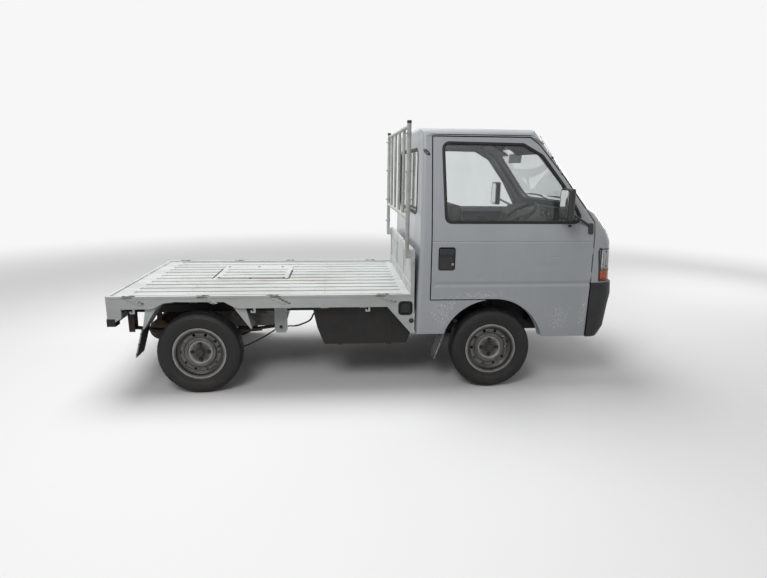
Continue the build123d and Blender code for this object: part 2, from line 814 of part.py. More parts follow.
beam_x = rear_axle_x - 90
spring_y = 450
pad_z = 320
with BuildPart() as rear_axle:
    for side in SIDES.values():
        add(hub_carrier(rear_axle_x, side))
        hub_tube = rod(
            (rear_axle_x, side * 500, axle_z), (rear_axle_x, side * (track / 2 + drum_inner), axle_z), 46
        )
        add(hub_tube)
        carrier = [(beam_x - 34, 232), (rear_axle_x + 40, 232), (rear_axle_x + 40, 304), (beam_x - 34, 304)]
        y = mirrored(side, (500, 528))
        add(side_block(carrier, y[0], y[1], 20))
        add(rod((rear_axle_x, side * (150 + seat_gap), axle_z), (rear_axle_x, side * 505, axle_z), 14))
        for inner_y, outer_y in ((170, 230), (430, 490)):
            add(rod((rear_axle_x, side * inner_y, axle_z), (rear_axle_x, side * outer_y, axle_z), 34))
        y = mirrored(side, (spring_y - 28, spring_y + 28))
        spring_pad = [
            (beam_x - 20, 270), (beam_x + 60, 308), (rear_axle_x + 60, 308), (rear_axle_x + 60, pad_z),
            (beam_x - 20, pad_z),
        ]
        add(side_block(spring_pad, y[0], y[1]))
    add(rod((beam_x, -510, axle_z), (beam_x, 510, axle_z), 30))
save(rear_axle, "rear_axle")

leaf_eye_x = (-1570, -600)
leaf_eye_z = 384
leaf_sheet = 9
# columns: share of the spring's length, height of the leaf's middle
leaf_table = [(1.0, 0), (0.74, 1), (0.48, 2)]
with BuildPart() as leaf_springs:
    for side in SIDES.values():
        y = mirrored(side, (spring_y - 25, spring_y + 25))
        middle = (leaf_eye_x[0] + leaf_eye_x[1]) / 2
        half = (leaf_eye_x[1] - leaf_eye_x[0]) / 2
        base = pad_z + seat_gap + 12 + leaf_sheet * 2
        for share, level in leaf_table:
            low = base - leaf_sheet * level
            rise = (leaf_eye_z - base) * share**2
            with BuildSketch(side_plane(y[0])):
                with BuildLine():
                    for lift in (0, leaf_sheet):
                        ThreePointArc(
                            (middle - half * share, low + rise + lift), (middle, low + lift),
                            (middle + half * share, low + rise + lift),
                        )
                    for end in (-1, 1):
                        x = middle + end * half * share
                        Line((x, low + rise), (x, low + rise + leaf_sheet))
                make_face()
            extrude(amount=y[0] - y[1])
        add(box((rear_axle_x - 50, rear_axle_x + 50), mirrored(side, (spring_y - 28, spring_y + 28)),
                (pad_z + seat_gap, base + leaf_sheet + 12)))
        for x, plate in zip(leaf_eye_x, (22, 43)):
            add(rod((x, y[0], leaf_eye_z + 4), (x, y[1], leaf_eye_z + 4), 18))
            hanger_top = rail_top_z - seat_gap
            cheek_low = leaf_eye_z - 20
            cheek = [
                (x - plate, hanger_top), (x + plate, hanger_top), (x + 18, cheek_low), (x - 18, cheek_low),
            ]
            for cheek_y in (spring_y - 33, spring_y + 25):
                span = mirrored(side, (cheek_y, cheek_y + 8))
                add(side_block(cheek, span[0], span[1]))
save(leaf_springs, "leaf_springs")

muffler_x = -1440
muffler_z = 335
with BuildPart() as exhaust:
    add(rod((muffler_x, -330, muffler_z), (muffler_x, 330, muffler_z), 70))
    add(rod((muffler_x, 225, muffler_z + 20), (engine_x[0] - seat_gap, 225, muffler_z + 20), 20))
    add(rod((muffler_x, 200, muffler_z), (tail_x + 45, 200, muffler_z), 19))
    for side in SIDES.values():
        strap_z = (muffler_z, rail_top_z - rail_depth - seat_gap)
        add(box((muffler_x - 15, muffler_x + 15), mirrored(side, (308, 328)), strap_z))
save(exhaust, "exhaust")

# Load bed
bed_half = bed_rail_y - rail_skin - seat_gap
plate_low = bed_z - bed_plate
board_x = (bed_front_x - board_thickness, bed_front_x)
rib_rows = [(n - (rib_count - 1) / 2) * rib_pitch for n in range(rib_count)]
# columns: middle of the cross bearer, half its width
bearer_table = [
    (-1570, bed_half), (-1330, 470), (-1170, 470), (-540, bed_half), (-300, bed_half), (-50, bed_half),
    (215, bed_half),
]


def rib(x, y):
    # One lengthwise groove of the deck
    return box(x, (y - rib_width / 2, y + rib_width / 2), (bed_z - rib_depth, bed_z))


with BuildPart() as bed_floor:
    add(box((bed_rear_x, board_x[0] - seat_gap), (-bed_half, bed_half), (plate_low, bed_z)))
    for x, half in bearer_table:
        add(box((x - 25, x + 25), (-half, half), (rail_top_z, plate_low)))
    for y in rib_rows:
        add(rib(rib_ends, y), mode=Mode.SUBTRACT)
    for grow, low in ((hatch_gap, bed_z - hatch_plate - seat_gap), (-hatch_ledge, plate_low)):
        x, y = (hatch_x[0] - grow, hatch_x[1] + grow), (hatch_y[0] - grow, hatch_y[1] + grow)
        add(box(x, y, (low, bed_z)), mode=Mode.SUBTRACT)
save(bed_floor, "bed_floor")

with BuildPart() as engine_hatch:
    add(box(hatch_x, hatch_y, (bed_z - hatch_plate, bed_z)))
    for y in rib_rows:
        if hatch_y[0] + rib_width < y < hatch_y[1] - rib_width:
            add(rib((hatch_x[0] + 40, hatch_x[1] - 40), y), mode=Mode.SUBTRACT)
save(engine_hatch, "engine_hatch")

arch_cut = [
    (-1378, bed_rail_z[0]), (-1357, 573), (-1303, 603), (-1236, 612), (-930, 609), (-874, 578),
    (-842, bed_rail_z[0]), (-842, 400), (-1378, 400),
]
with BuildPart() as bed_rails:
    for side in SIDES.values():
        y = mirrored(side, (bed_rail_y - rail_skin, bed_rail_y))
        add(box((bed_rear_x, skirt_x), y, bed_rail_z))
        lip = mirrored(side, (bed_rail_y - rail_skin, bed_rail_y + 4))
        add(box((bed_rear_x, skirt_x), lip, (bed_rail_z[1] - 14, bed_rail_z[1])))
        add(side_block(arch_cut, -wide, wide), mode=Mode.SUBTRACT)
        for x in hook_x:
            hook = [
                (x - 6, bed_rail_z[0] + 4), (x + 6, bed_rail_z[0] + 4), (x + 6, 535), (x - 24, 535),
                (x - 24, 550), (x - 16, 550), (x - 16, 543), (x - 6, 543),
            ]
            y = mirrored(side, (bed_rail_y - 12, bed_rail_y - 4))
            add(side_block(hook, y[0], y[1]))
save(bed_rails, "bed_rails")

apron_sheet = 18
apron_z = (454, 648)
stop_x = -1595
stop_y = 600
stop_z = (456, 505)
tail_lamp = dict(y=(440, 590), z=(490, 590))
with BuildPart() as rear_apron:
    apron_x = (bed_rear_x - seat_gap - apron_sheet, bed_rear_x - seat_gap)
    add(box(apron_x, (-bed_rail_y, bed_rail_y), apron_z))
    for side in SIDES.values():
        y = mirrored(side, (bed_rail_y - rail_skin, bed_rail_y))
        wing_top = bed_rail_z[0] - seat_gap
        wing = [(apron_x[0], apron_z[0]), (-1557, 510), (-1557, wing_top), (apron_x[0], wing_top)]
        add(side_block(wing, y[0], y[1]))
        y = mirrored(side, tail_lamp["y"])
        add(box((apron_x[0] - 1, apron_x[1] + 1), y, tail_lamp["z"]), mode=Mode.SUBTRACT)
        add(box((tail_x - 5, stop_x), mirrored(side, (stop_y, 690)), (440, stop_z[1])), mode=Mode.SUBTRACT)
save(rear_apron, "rear_apron")

with BuildPart() as tail_lamps:
    for side in SIDES.values():
        y = mirrored(side, (tail_lamp["y"][0] + 0.5, tail_lamp["y"][1] - 0.5))
        add(box((apron_x[0] - 4, apron_x[1]), y, (tail_lamp["z"][0] + 0.5, tail_lamp["z"][1] - 0.5)))
save(tail_lamps, "tail_lamps")

with BuildPart() as rubber_stops:
    for side in SIDES.values():
        y = mirrored(side, (stop_y + seat_gap, bed_rail_y))
        add(box((tail_x, stop_x - seat_gap), y, (stop_z[0], stop_z[1] - seat_gap)))
save(rubber_stops, "rubber_stops")

with BuildPart() as front_board:
    add(box(board_x, (-board_half, board_half), (bed_z + seat_gap, board_top_z - board_thickness / 2)))
    add(box(board_x, (-bed_half, bed_half), (plate_low, bed_z + 1)))
    bead_x, bead_z = sum(board_x) / 2, board_top_z - board_thickness / 2
    add(rod((bead_x, -board_half, bead_z), (bead_x, board_half, bead_z), board_thickness / 2))
    for y in (-440, 0, 440):
        pocket = box((board_x[0] - 1, board_x[0] + 6), (y - 190, y + 190), (bed_z + 60, board_top_z - 60))
        add(pocket, mode=Mode.SUBTRACT)
    for side in SIDES.values():
        latch_y = mirrored(side, (board_half - 1, board_half + 16))
        add(box((board_x[0] + 4, board_x[1] - 4), latch_y, (858, 888)))
save(front_board, "front_board")

with BuildPart() as guard_frame:
    for side in SIDES.values():
        add(rod((guard_x, side * guard_y, 890), (guard_x, side * guard_y, guard_tip_z), guard_radius))
        foot_front = board_x[0] - seat_gap
        foot = [(guard_x - 8, 880), (foot_front, 880), (foot_front, 925), (guard_x - 8, 951)]
        y = mirrored(side, (guard_y - 22, guard_y + 22))
        add(side_block(foot, y[0], y[1]))
    for z in (guard_low_z, guard_top_z):
        add(rod((guard_x, -guard_y, z), (guard_x, guard_y, z), guard_radius - 1))
    for y in guard_bar_y:
        add(rod((guard_x, y, guard_low_z), (guard_x, y, guard_top_z), guard_radius - 2.5))
save(guard_frame, "guard_frame")

with BuildPart() as rear_mudguards:
    rear_leg, front_leg = (-1443, 429), (-765, 424)
    outer = [rear_leg, (-1357, 573), (-1303, 603), (-1236, 611), (-930, 608), (-874, 578), front_leg]
    inner = [
        (rear_leg[0] + 8, rear_leg[1]), (-1350, 567), (-1300, 596), (-1236, 604), (-930, 601),
        (-879, 573), (front_leg[0] - 8, front_leg[1]),
    ]
    cheeks = (
        [(-1443, 429), (-1417, 565), (-1352, 565), (-1435, 429)],
        [(-765, 424), (-799, 565), (-866, 565), (-773, 424)],
    )
    for side in SIDES.values():
        y = mirrored(side, (486, bed_rail_y - rail_skin - seat_gap))
        add(side_block(outer + inner[::-1], y[0], y[1]))
        y = mirrored(side, (bed_rail_y - rail_skin - 12, bed_rail_y - rail_skin - seat_gap))
        for cheek in cheeks:
            add(side_block(cheek, y[0], y[1]))
save(rear_mudguards, "rear_mudguards")

with BuildPart() as mud_flaps:
    rear_flap = [(-1447, 429 - seat_gap), (-1437, 429 - seat_gap), (-1489, 248), (-1495, 248)]
    front_flap = [(513, 420 - seat_gap), (520, 420 - seat_gap), (434, 177), (428, 177)]
    for side in SIDES.values():
        for outline, y_limits in ((rear_flap, (520, 664)), (front_flap, (470, 600))):
            y = mirrored(side, y_limits)
            add(side_block(outline, y[0], y[1]))
save(mud_flaps, "mud_flaps")

with BuildPart() as fuel_tank:
    tank_top = rail_top_z - seat_gap
    outline = [(-380, tank_top), (-351, 417), (-305, 297), (240, 297), (265, 365), (270, tank_top)]
    add(side_block(outline, -600, -385, 18))
    for x in (-200, 120):
        add(side_block(corners((x - 18, x + 18), (293, tank_top - 2)), -603, -382))
save(fuel_tank, "fuel_tank")

with BuildPart() as battery_box:
    add(box((-190, 140), (400, 590), (340, 500)))
    add(box((-198, 148), (392, 598), (500, rail_top_z - seat_gap)))
save(battery_box, "battery_box")

with BuildPart() as skirts:
    for side in SIDES.values():
        rail_low, skirt_rear, board_rear = bed_rail_z[0] - seat_gap, skirt_x + seat_gap, board_x[0] - seat_gap
        outline = [
            (104, rail_low), (skirt_rear, rail_low), (skirt_rear, bed_rail_z[1]), (board_rear, bed_rail_z[1]),
            (board_rear, bed_z), (bed_front_x, bed_z), (bed_front_x, 385), (261, 385),
        ]
        y = mirrored(side, (bed_rail_y - rail_skin, bed_rail_y))
        add(side_block(outline, y[0], y[1]))
    filler_recess = side_block(corners((178, 266), (512, 600)), -wide, -bed_rail_y + 18, 20)
    add(filler_recess, mode=Mode.SUBTRACT)
    add(rod((222, -bed_rail_y + 19, 556), (222, -bed_rail_y + 2, 556), 32))
    add(rod((262, -bed_rail_y + 2, 472), (262, -bed_rail_y - 7, 472), 8))
save(skirts, "skirts")
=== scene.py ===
import json
import math

import bmesh
import bpy
from mathutils import Matrix, Vector
from mathutils.bvhtree import BVHTree


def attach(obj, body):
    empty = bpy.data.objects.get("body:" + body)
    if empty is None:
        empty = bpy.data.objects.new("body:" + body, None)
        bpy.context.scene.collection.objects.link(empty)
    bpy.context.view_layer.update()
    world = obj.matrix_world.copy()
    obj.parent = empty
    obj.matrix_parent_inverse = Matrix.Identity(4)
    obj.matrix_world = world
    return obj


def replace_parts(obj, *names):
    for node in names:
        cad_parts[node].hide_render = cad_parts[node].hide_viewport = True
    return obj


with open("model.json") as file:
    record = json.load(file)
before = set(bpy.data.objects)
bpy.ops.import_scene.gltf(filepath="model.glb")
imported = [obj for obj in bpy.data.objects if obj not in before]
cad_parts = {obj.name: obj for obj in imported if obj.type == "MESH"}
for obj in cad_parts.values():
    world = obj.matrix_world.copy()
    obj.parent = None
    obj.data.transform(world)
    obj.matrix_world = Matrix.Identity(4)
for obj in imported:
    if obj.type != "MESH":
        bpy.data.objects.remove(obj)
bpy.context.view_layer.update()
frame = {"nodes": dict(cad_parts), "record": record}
nodes = frame["nodes"]
collection = bpy.context.scene.collection

# Sizes in the dictionaries are in millimetres, as in the source of the solids; X runs forwards and Y to the left
mm = 0.001
sides = {"Left": 1, "Right": -1}
alongX, alongY, alongZ = Vector((1, 0, 0)), Vector((0, 1, 0)), Vector((0, 0, 1))

# Camera, as it stood for the photograph; the focal length and the width are in pixels
camera = dict(place=(-219.6, -4065.4, 1440.3), yaw=0.0874, pitch=0.2185, roll=0.0108, focal=544.7654, width=767,
              sensor=36)


def makeCamera():
    yaw, pitch, roll = camera["yaw"], camera["pitch"], camera["roll"]
    forward = Vector((math.sin(yaw) * math.cos(pitch), math.cos(yaw) * math.cos(pitch), -math.sin(pitch)))
    level = Vector((math.cos(yaw), -math.sin(yaw), 0))
    right = level * math.cos(roll) + level.cross(forward) * math.sin(roll)
    turned = Matrix((right, right.cross(forward), -forward)).transposed().to_4x4()
    data = bpy.data.cameras.new("camera")
    data.sensor_width = camera["sensor"]
    data.lens = camera["focal"] / camera["width"] * camera["sensor"]
    data.clip_start, data.clip_end = 0.05, 200
    holder = bpy.data.objects.new("camera", data)
    holder.matrix_world = Matrix.Translation(Vector(camera["place"]) * mm) @ turned
    collection.objects.link(holder)
    bpy.context.scene.camera = holder


makeCamera()


# Shader nodes
def addNode(tree, kind, inputs=None, **settings):
    node = tree.nodes.new(kind)
    for name, value in settings.items():
        setattr(node, name, value)
    for name, value in (inputs or {}).items():
        if isinstance(value, bpy.types.NodeSocket):
            tree.links.new(value, node.inputs[name])
        else:
            node.inputs[name].default_value = value
    return node


def startGroup(name, inputs, outputs, kind="ShaderNodeTree"):
    group = bpy.data.node_groups.new(name, kind)
    for label, value in inputs.items():
        made = group.interface.new_socket(label, in_out="INPUT", socket_type=socketKind(value))
        if not isinstance(value, str):
            made.default_value = value
    for label, value in outputs.items():
        group.interface.new_socket(label, in_out="OUTPUT", socket_type=socketKind(value))
    return group, group.nodes.new("NodeGroupInput").outputs, group.nodes.new("NodeGroupOutput").inputs


def socketKind(value):
    if isinstance(value, str):
        return "NodeSocket" + value
    if isinstance(value, tuple):
        return "NodeSocketVector"
    return "NodeSocketInt" if isinstance(value, int) else "NodeSocketFloat"


def ramp(tree, value, low, high, start=0.0, end=1.0):
    inputs = {"Value": value, "From Min": low, "From Max": high, "To Min": start, "To Max": end}
    return addNode(tree, "ShaderNodeMapRange", inputs, interpolation_type="SMOOTHSTEP").outputs["Result"]


def combine(tree, operation, first, second):
    return addNode(tree, "ShaderNodeMath", {0: first, 1: second}, operation=operation).outputs[0]


def vectorMath(tree, operation, first, second=(0, 0, 0)):
    node = addNode(tree, "ShaderNodeVectorMath", {0: first, 1: second}, operation=operation)
    return node.outputs["Value" if operation == "LENGTH" else 0]


def gather(tree, operation, values):
    total = values[0]
    for value in values[1:]:
        total = combine(tree, operation, total, value)
    return total


def noise(tree, vector, scale, detail, roughness=0.5):
    inputs = {"Vector": vector, "Scale": scale, "Detail": detail, "Roughness": roughness}
    return addNode(tree, "ShaderNodeTexNoise", inputs).outputs["Fac"]


def mixColour(tree, share, first, second):
    return addNode(tree, "ShaderNodeMix", {0: share, 6: first, 7: second}, data_type="RGBA").outputs[2]


def opaque(colour):
    return (*colour, 1)


def makeWeathering():
    # Blotches and streaks, small spots, dust that lies low, and a fine grain
    group, given, out = startGroup(
        "weathering",
        {"Vector": (0.0, 0.0, 0.0), "Stretch": (1.0, 1.0, 1.0), "Blotch scale": 3.0, "Spot scale": 60.0,
         "Spot cover": 0.2,
         "Dust top": 0.5, "Grain scale": 400.0},
        {"Blotch": "Float", "Spots": "Float", "Dust": "Float", "Grain": "Float"},
    )
    place = given["Vector"]
    blotch = noise(group, vectorMath(group, "MULTIPLY", place, given["Stretch"]), given["Blotch scale"], 6.0, 0.62)
    group.links.new(ramp(group, blotch, 0.36, 0.68), out["Blotch"])
    spot = noise(group, place, given["Spot scale"], 5.0, 0.7)
    patch = noise(group, place, 4.0, 2.0)
    level = combine(group, "ADD", spot, given["Spot cover"])
    level = combine(group, "SUBTRACT", level, ramp(group, patch, 0.35, 0.7, 0.3, 0.0))
    group.links.new(ramp(group, level, 0.62, 0.68), out["Spots"])
    height = addNode(group, "ShaderNodeSeparateXYZ", {0: place}).outputs["Z"]
    wavy = combine(group, "ADD", height, ramp(group, blotch, 0.2, 0.8, -0.12, 0.12))
    group.links.new(ramp(group, wavy, 0.0, given["Dust top"], 1.0, 0.0), out["Dust"])
    group.links.new(noise(group, place, given["Grain scale"], 3.0), out["Grain"])
    return group


def makeNearPlace():
    # 1 at a place and 0 beyond a reach of it; the stretch makes it an oval or a band
    group, given, out = startGroup(
        "nearPlace",
        {"Vector": (0.0, 0.0, 0.0), "Place": (0.0, 0.0, 0.0), "Stretch": (1.0, 1.0, 1.0), "Inner": 0.1, "Outer": 0.2},
        {"Mask": "Float"},
    )
    away = vectorMath(group, "SUBTRACT", given["Vector"], given["Place"])
    length = vectorMath(group, "LENGTH", vectorMath(group, "MULTIPLY", away, given["Stretch"]))
    group.links.new(ramp(group, length, given["Inner"], given["Outer"], 1.0, 0.0), out["Mask"])
    return group


weathering = makeWeathering()
nearPlace = makeNearPlace()

# What a look says where it gives no value of its own
plainLook = dict(
    blotch=0.3, blotchScale=3, stretch=(1, 1, 1), spots=0, spotColour=(0.06, 0.04, 0.03), spotScale=60, spotCover=0.1,
    dust=0, dustTop=0.5, dustColour=(0.16, 0.14, 0.12), grainScale=400, bump=0.1, bumpDepth=0.0004,
    roughSpread=0.15, metallic=0, coat=0, coatRough=0.15, specular=0.5,
)


def useWeathering(tree, coordinates, look):
    return addNode(tree, "ShaderNodeGroup", {
        "Vector": coordinates, "Stretch": look["stretch"], "Blotch scale": look["blotchScale"],
        "Spot scale": look["spotScale"], "Spot cover": look["spotCover"], "Dust top": look["dustTop"],
        "Grain scale": look["grainScale"],
    }, node_tree=weathering).outputs


def useNearPlace(tree, coordinates, place, inner, outer, stretch=(1, 1, 1)):
    return addNode(tree, "ShaderNodeGroup", {
        "Vector": coordinates, "Place": [v * mm for v in place], "Stretch": stretch,
        "Inner": inner * mm, "Outer": outer * mm,
    }, node_tree=nearPlace).outputs["Mask"]


def startMaterial(name):
    material = bpy.data.materials.new(name)
    material.use_nodes = True
    tree = material.node_tree
    return material, tree, tree.nodes["Principled BSDF"], tree.nodes.new("ShaderNodeTexCoord").outputs["Object"]


def startFinish(name, look):
    # The part that every finish shares: worn colour, uneven roughness and grain
    look = {**plainLook, **look}
    material, tree, shader, coordinates = startMaterial(name)
    wear = useWeathering(tree, coordinates, look)
    colour = opaque(look["colour"])
    for output, share, shade in (("Blotch", "blotch", "blotchColour"), ("Dust", "dust", "dustColour"),
                                 ("Spots", "spots", "spotColour")):
        colour = mixColour(tree, combine(tree, "MULTIPLY", wear[output], look[share]), colour, opaque(look[shade]))
    tree.links.new(colour, shader.inputs["Base Color"])
    rough = ramp(tree, wear["Blotch"], 0, 1, look["rough"], min(1, look["rough"] + look["roughSpread"]))
    tree.links.new(rough, shader.inputs["Roughness"])
    bump = addNode(tree, "ShaderNodeBump", {"Height": wear["Grain"], "Strength": look["bump"],
                                            "Distance": look["bumpDepth"]})
    tree.links.new(bump.outputs[0], shader.inputs["Normal"])
    for socket, value in (("Metallic", "metallic"), ("Coat Weight", "coat"), ("Coat Roughness", "coatRough"),
                          ("Specular IOR Level", "specular")):
        shader.inputs[socket].default_value = look[value]
    return material, tree, shader, coordinates, wear, bump, colour


looks = dict(
    cabPaint=dict(colour=(0.45, 0.475, 0.495), blotchColour=(0.37, 0.39, 0.405), blotch=0.45, blotchScale=2.2,
                  stretch=(1, 1, 0.35), rough=0.32,
                  dust=0.45, dustTop=0.62, dustColour=(0.24, 0.225, 0.20), coat=0.35, bump=0.05, grainScale=220,
                  spotScale=90, spotCover=0.0, spots=0.5),
    bedPaint=dict(colour=(0.53, 0.555, 0.55), blotchColour=(0.38, 0.39, 0.375), blotch=0.6, blotchScale=5,
                  stretch=(0.35, 1.6, 1), rough=0.42,
                  spots=0.8, spotColour=(0.11, 0.075, 0.05), spotScale=75, spotCover=0.055, dust=0.3, dustTop=0.6,
                  bump=0.12, grainScale=180, coat=0.1),
    chassisBlack=dict(colour=(0.012, 0.012, 0.013), blotchColour=(0.04, 0.034, 0.029), blotch=0.6, blotchScale=9,
                      rough=0.5, dust=0.1, dustTop=0.45, specular=0.3,
                      spots=0.4, spotColour=(0.11, 0.045, 0.02), spotCover=0.07, bump=0.4, grainScale=160),
    bumperPlastic=dict(colour=(0.022, 0.023, 0.025), blotchColour=(0.06, 0.06, 0.06), blotch=0.5, blotchScale=6,
                       rough=0.48, dust=0.16, dustTop=0.5, specular=0.35,
                       bump=0.5, grainScale=900),
    mirrorPlastic=dict(colour=(0.02, 0.02, 0.021), blotchColour=(0.045, 0.045, 0.045), blotch=0.4, rough=0.42,
                       bump=0.35, grainScale=1100),
    sealRubber=dict(colour=(0.008, 0.008, 0.008), blotchColour=(0.02, 0.02, 0.019), blotch=0.6, blotchScale=14,
                    rough=0.42, specular=0.35, bump=0.2, grainScale=700),
    tyreRubber=dict(colour=(0.011, 0.011, 0.012), blotchColour=(0.024, 0.023, 0.022), blotch=0.7, blotchScale=13,
                    rough=0.5, dust=0.1, dustTop=0.14, specular=0.35,
                    bump=0.35, grainScale=420, bumpDepth=0.0006),
    rimSteel=dict(colour=(0.17, 0.172, 0.17), blotchColour=(0.09, 0.082, 0.074), blotch=0.75, blotchScale=16,
                  rough=0.4, metallic=0.5, dust=0.12, dustTop=0.3,
                  spots=0.7, spotColour=(0.14, 0.065, 0.035), spotScale=110, spotCover=0.1, bump=0.25,
                  grainScale=500),
    greyPlastic=dict(colour=(0.10, 0.104, 0.108), blotchColour=(0.14, 0.14, 0.142), blotch=0.5, rough=0.55, bump=0.55,
                     grainScale=950),
    darkPlastic=dict(colour=(0.012, 0.012, 0.013), blotchColour=(0.03, 0.03, 0.03), blotch=0.5, rough=0.45,
                     specular=0.4, bump=0.4, grainScale=900),
    seatVinyl=dict(colour=(0.035, 0.036, 0.04), blotchColour=(0.07, 0.068, 0.066), blotch=0.6, blotchScale=7,
                   rough=0.5, bump=0.8, grainScale=620, bumpDepth=0.0007),
    engineAlloy=dict(colour=(0.25, 0.245, 0.235), blotchColour=(0.09, 0.075, 0.06), blotch=0.85, blotchScale=8,
                     rough=0.55, metallic=0.5, bump=0.5,
                     spots=0.5, spotCover=0.08, grainScale=140),
    exhaustSteel=dict(colour=(0.10, 0.085, 0.075), blotchColour=(0.075, 0.04, 0.026), blotch=0.9, blotchScale=10,
                      rough=0.65, metallic=0.5,
                      spots=0.8, spotColour=(0.12, 0.045, 0.02), spotCover=0.16, bump=0.5, grainScale=200),
    springSteel=dict(colour=(0.022, 0.021, 0.02), blotchColour=(0.06, 0.038, 0.027), blotch=0.8, blotchScale=14,
                     rough=0.6, metallic=0.2,
                     spots=0.7, spotColour=(0.13, 0.05, 0.025), spotCover=0.14, bump=0.4, grainScale=260),
    handlePlastic=dict(colour=(0.012, 0.012, 0.013), blotchColour=(0.035, 0.035, 0.034), blotch=0.5, blotchScale=12,
                       rough=0.4, bump=0.4, grainScale=800),
    seatPiping=dict(colour=(0.02, 0.02, 0.022), blotchColour=(0.05, 0.05, 0.05), blotch=0.5, blotchScale=9,
                    rough=0.42, bump=0.3, grainScale=700),
    cardVinyl=dict(colour=(0.045, 0.047, 0.052), blotchColour=(0.075, 0.073, 0.072), blotch=0.5, blotchScale=5,
                   rough=0.52, bump=0.7, grainScale=640, bumpDepth=0.0006),
    dialMarks=dict(colour=(0.75, 0.75, 0.72), blotchColour=(0.6, 0.6, 0.57), blotch=0.4, rough=0.5, bump=0.05),
    rustySteel=dict(colour=(0.07, 0.05, 0.038), blotchColour=(0.035, 0.03, 0.027), blotch=0.8, blotchScale=40,
                    rough=0.7, metallic=0.2, bump=0.6, grainScale=300),
    rimLip=dict(colour=(0.42, 0.42, 0.41), blotchColour=(0.2, 0.18, 0.16), blotch=0.7, blotchScale=24, rough=0.3,
                metallic=0.8, bump=0.2),
    paleTrim=dict(colour=(0.5, 0.51, 0.51), blotchColour=(0.4, 0.4, 0.39), blotch=0.4, rough=0.4, bump=0.1,
                  grainScale=600),
    # Pale look of the strips that paint the highlight on the flaps' edges
    flapHighlightPale=dict(colour=(0.42, 0.43, 0.42), blotchColour=(0.16, 0.15, 0.13), blotch=0.5, blotchScale=18, rough=0.5,
                   metallic=0.3, bump=0.3),
    hubBlack=dict(colour=(0.03, 0.029, 0.028), blotchColour=(0.07, 0.06, 0.05), blotch=0.6, blotchScale=20, rough=0.5,
                  metallic=0.3, bump=0.25),
    bareSteel=dict(colour=(0.42, 0.42, 0.41), blotchColour=(0.22, 0.19, 0.16), blotch=0.6, blotchScale=30, rough=0.35,
                   metallic=0.9,
                   spots=0.4, spotColour=(0.15, 0.07, 0.035), spotCover=0.08, bump=0.2),
    reflector=dict(colour=(0.75, 0.75, 0.75), blotchColour=(0.6, 0.6, 0.58), blotch=0.4, rough=0.12, roughSpread=0.1,
                   metallic=1, bump=0.05),
    mirrorSilver=dict(colour=(0.8, 0.8, 0.8), blotchColour=(0.7, 0.7, 0.7), blotch=0.2, rough=0.03, roughSpread=0.03,
                      metallic=1, bump=0.0),
    guardPaint=dict(colour=(0.46, 0.485, 0.465), blotchColour=(0.3, 0.3, 0.27), blotch=0.6, blotchScale=12,
                    rough=0.45, spots=0.7, spotScale=95,
                    spotColour=(0.15, 0.07, 0.04), spotCover=0.08, bump=0.15, grainScale=260),
)

# Wear of the cab's paint; chips and dents have a place, a reach and a stretch, and a stretch of 0 covers both sides
cabWear = dict(
    chips=(
        ((470, 0, 520), 20, 170, (1, 0, 0.8)), ((1405, 0, 500), 10, 90, (1.6, 0, 0.5)),
        ((700, 0, 640), 10, 170, (0.4, 0, 2.4)),
        ((1240, 0, 470), 10, 170, (1, 0, 0.9)), ((520, 0, 585), 10, 90, (1, 0, 0.8)),
        ((468, 0, 470), 10, 80, (1.3, 0, 0.7)),
    ),
    dents=(
        ((748, -697, 919), 0, 34, (1, 1, 0.7)), ((700, -697, 760), 0, 30, (1, 1, 1)),
        ((1120, -697, 830), 0, 60, (0.5, 1, 1.6)),
        ((1183, -697, 892), 0, 34, (0.9, 1, 6)), ((1400, -690, 640), 0, 50, (1, 1, 0.6)),
    ),
    chipScale=95.0, chipShare=0.152, rustShare=0.14, chipColour=(0.80, 0.81, 0.79), rustColour=(0.12, 0.065, 0.035),
    relief=0.6, depth=0.0035,
)


def finishCabPaint():
    material, tree, shader, coordinates, wear, bump, colour = startFinish("cabPaintWorn", looks["cabPaint"])
    flakes = noise(tree, coordinates, cabWear["chipScale"], 4.0, 0.75)
    near, dents = (gather(tree, "MAXIMUM", [useNearPlace(tree, coordinates, *row) for row in cabWear[kind]])
                   for kind in ("chips", "dents"))
    chipped, rusted = (combine(tree, "ADD", flakes, combine(tree, "MULTIPLY", near, cabWear[share]))
                       for share in ("chipShare", "rustShare"))
    mask = combine(tree, "MULTIPLY", ramp(tree, chipped, 0.70, 0.73), ramp(tree, near, 0.02, 0.2))
    colour = mixColour(tree, combine(tree, "MULTIPLY", mask, 0.85), colour, opaque(cabWear["chipColour"]))
    # The largest chips have rusted in the middle
    rusty = combine(tree, "MULTIPLY", ramp(tree, rusted, 0.78, 0.81), ramp(tree, near, 0.3, 0.6))
    colour = mixColour(tree, rusty, colour, opaque(cabWear["rustColour"]))
    tree.links.new(colour, shader.inputs["Base Color"])
    hollow = combine(tree, "ADD", dents, combine(tree, "MULTIPLY", mask, 0.1))
    height = combine(tree, "SUBTRACT", combine(tree, "MULTIPLY", wear["Grain"], 0.02), hollow)
    tree.links.new(height, bump.inputs["Height"])
    bump.inputs["Strength"].default_value, bump.inputs["Distance"].default_value = cabWear["relief"], cabWear["depth"]
    return material


# Wear of the bed's paint, and painted shade at the rails' torn and bent places; the torn places hold the X of each on
# the rails' upper lips, and how far the painted shade of its crease runs down
bedWearAndShade = dict(
    middle=(-520, -180, 640), reach=(150, 800), stretch=(0.7, 1.3, 0), deck=(0.6, 0.64),
    greyColour=(0.36, 0.345, 0.30),
    tornAndShaded=((-1506, 0.42), (-1053, 0.6), (-604, 0.5), (69, 0.45)), creaseShadeRuns=(22, 42, 62, 82),
    tornAndShadeColour=(0.07, 0.063, 0.056),
)


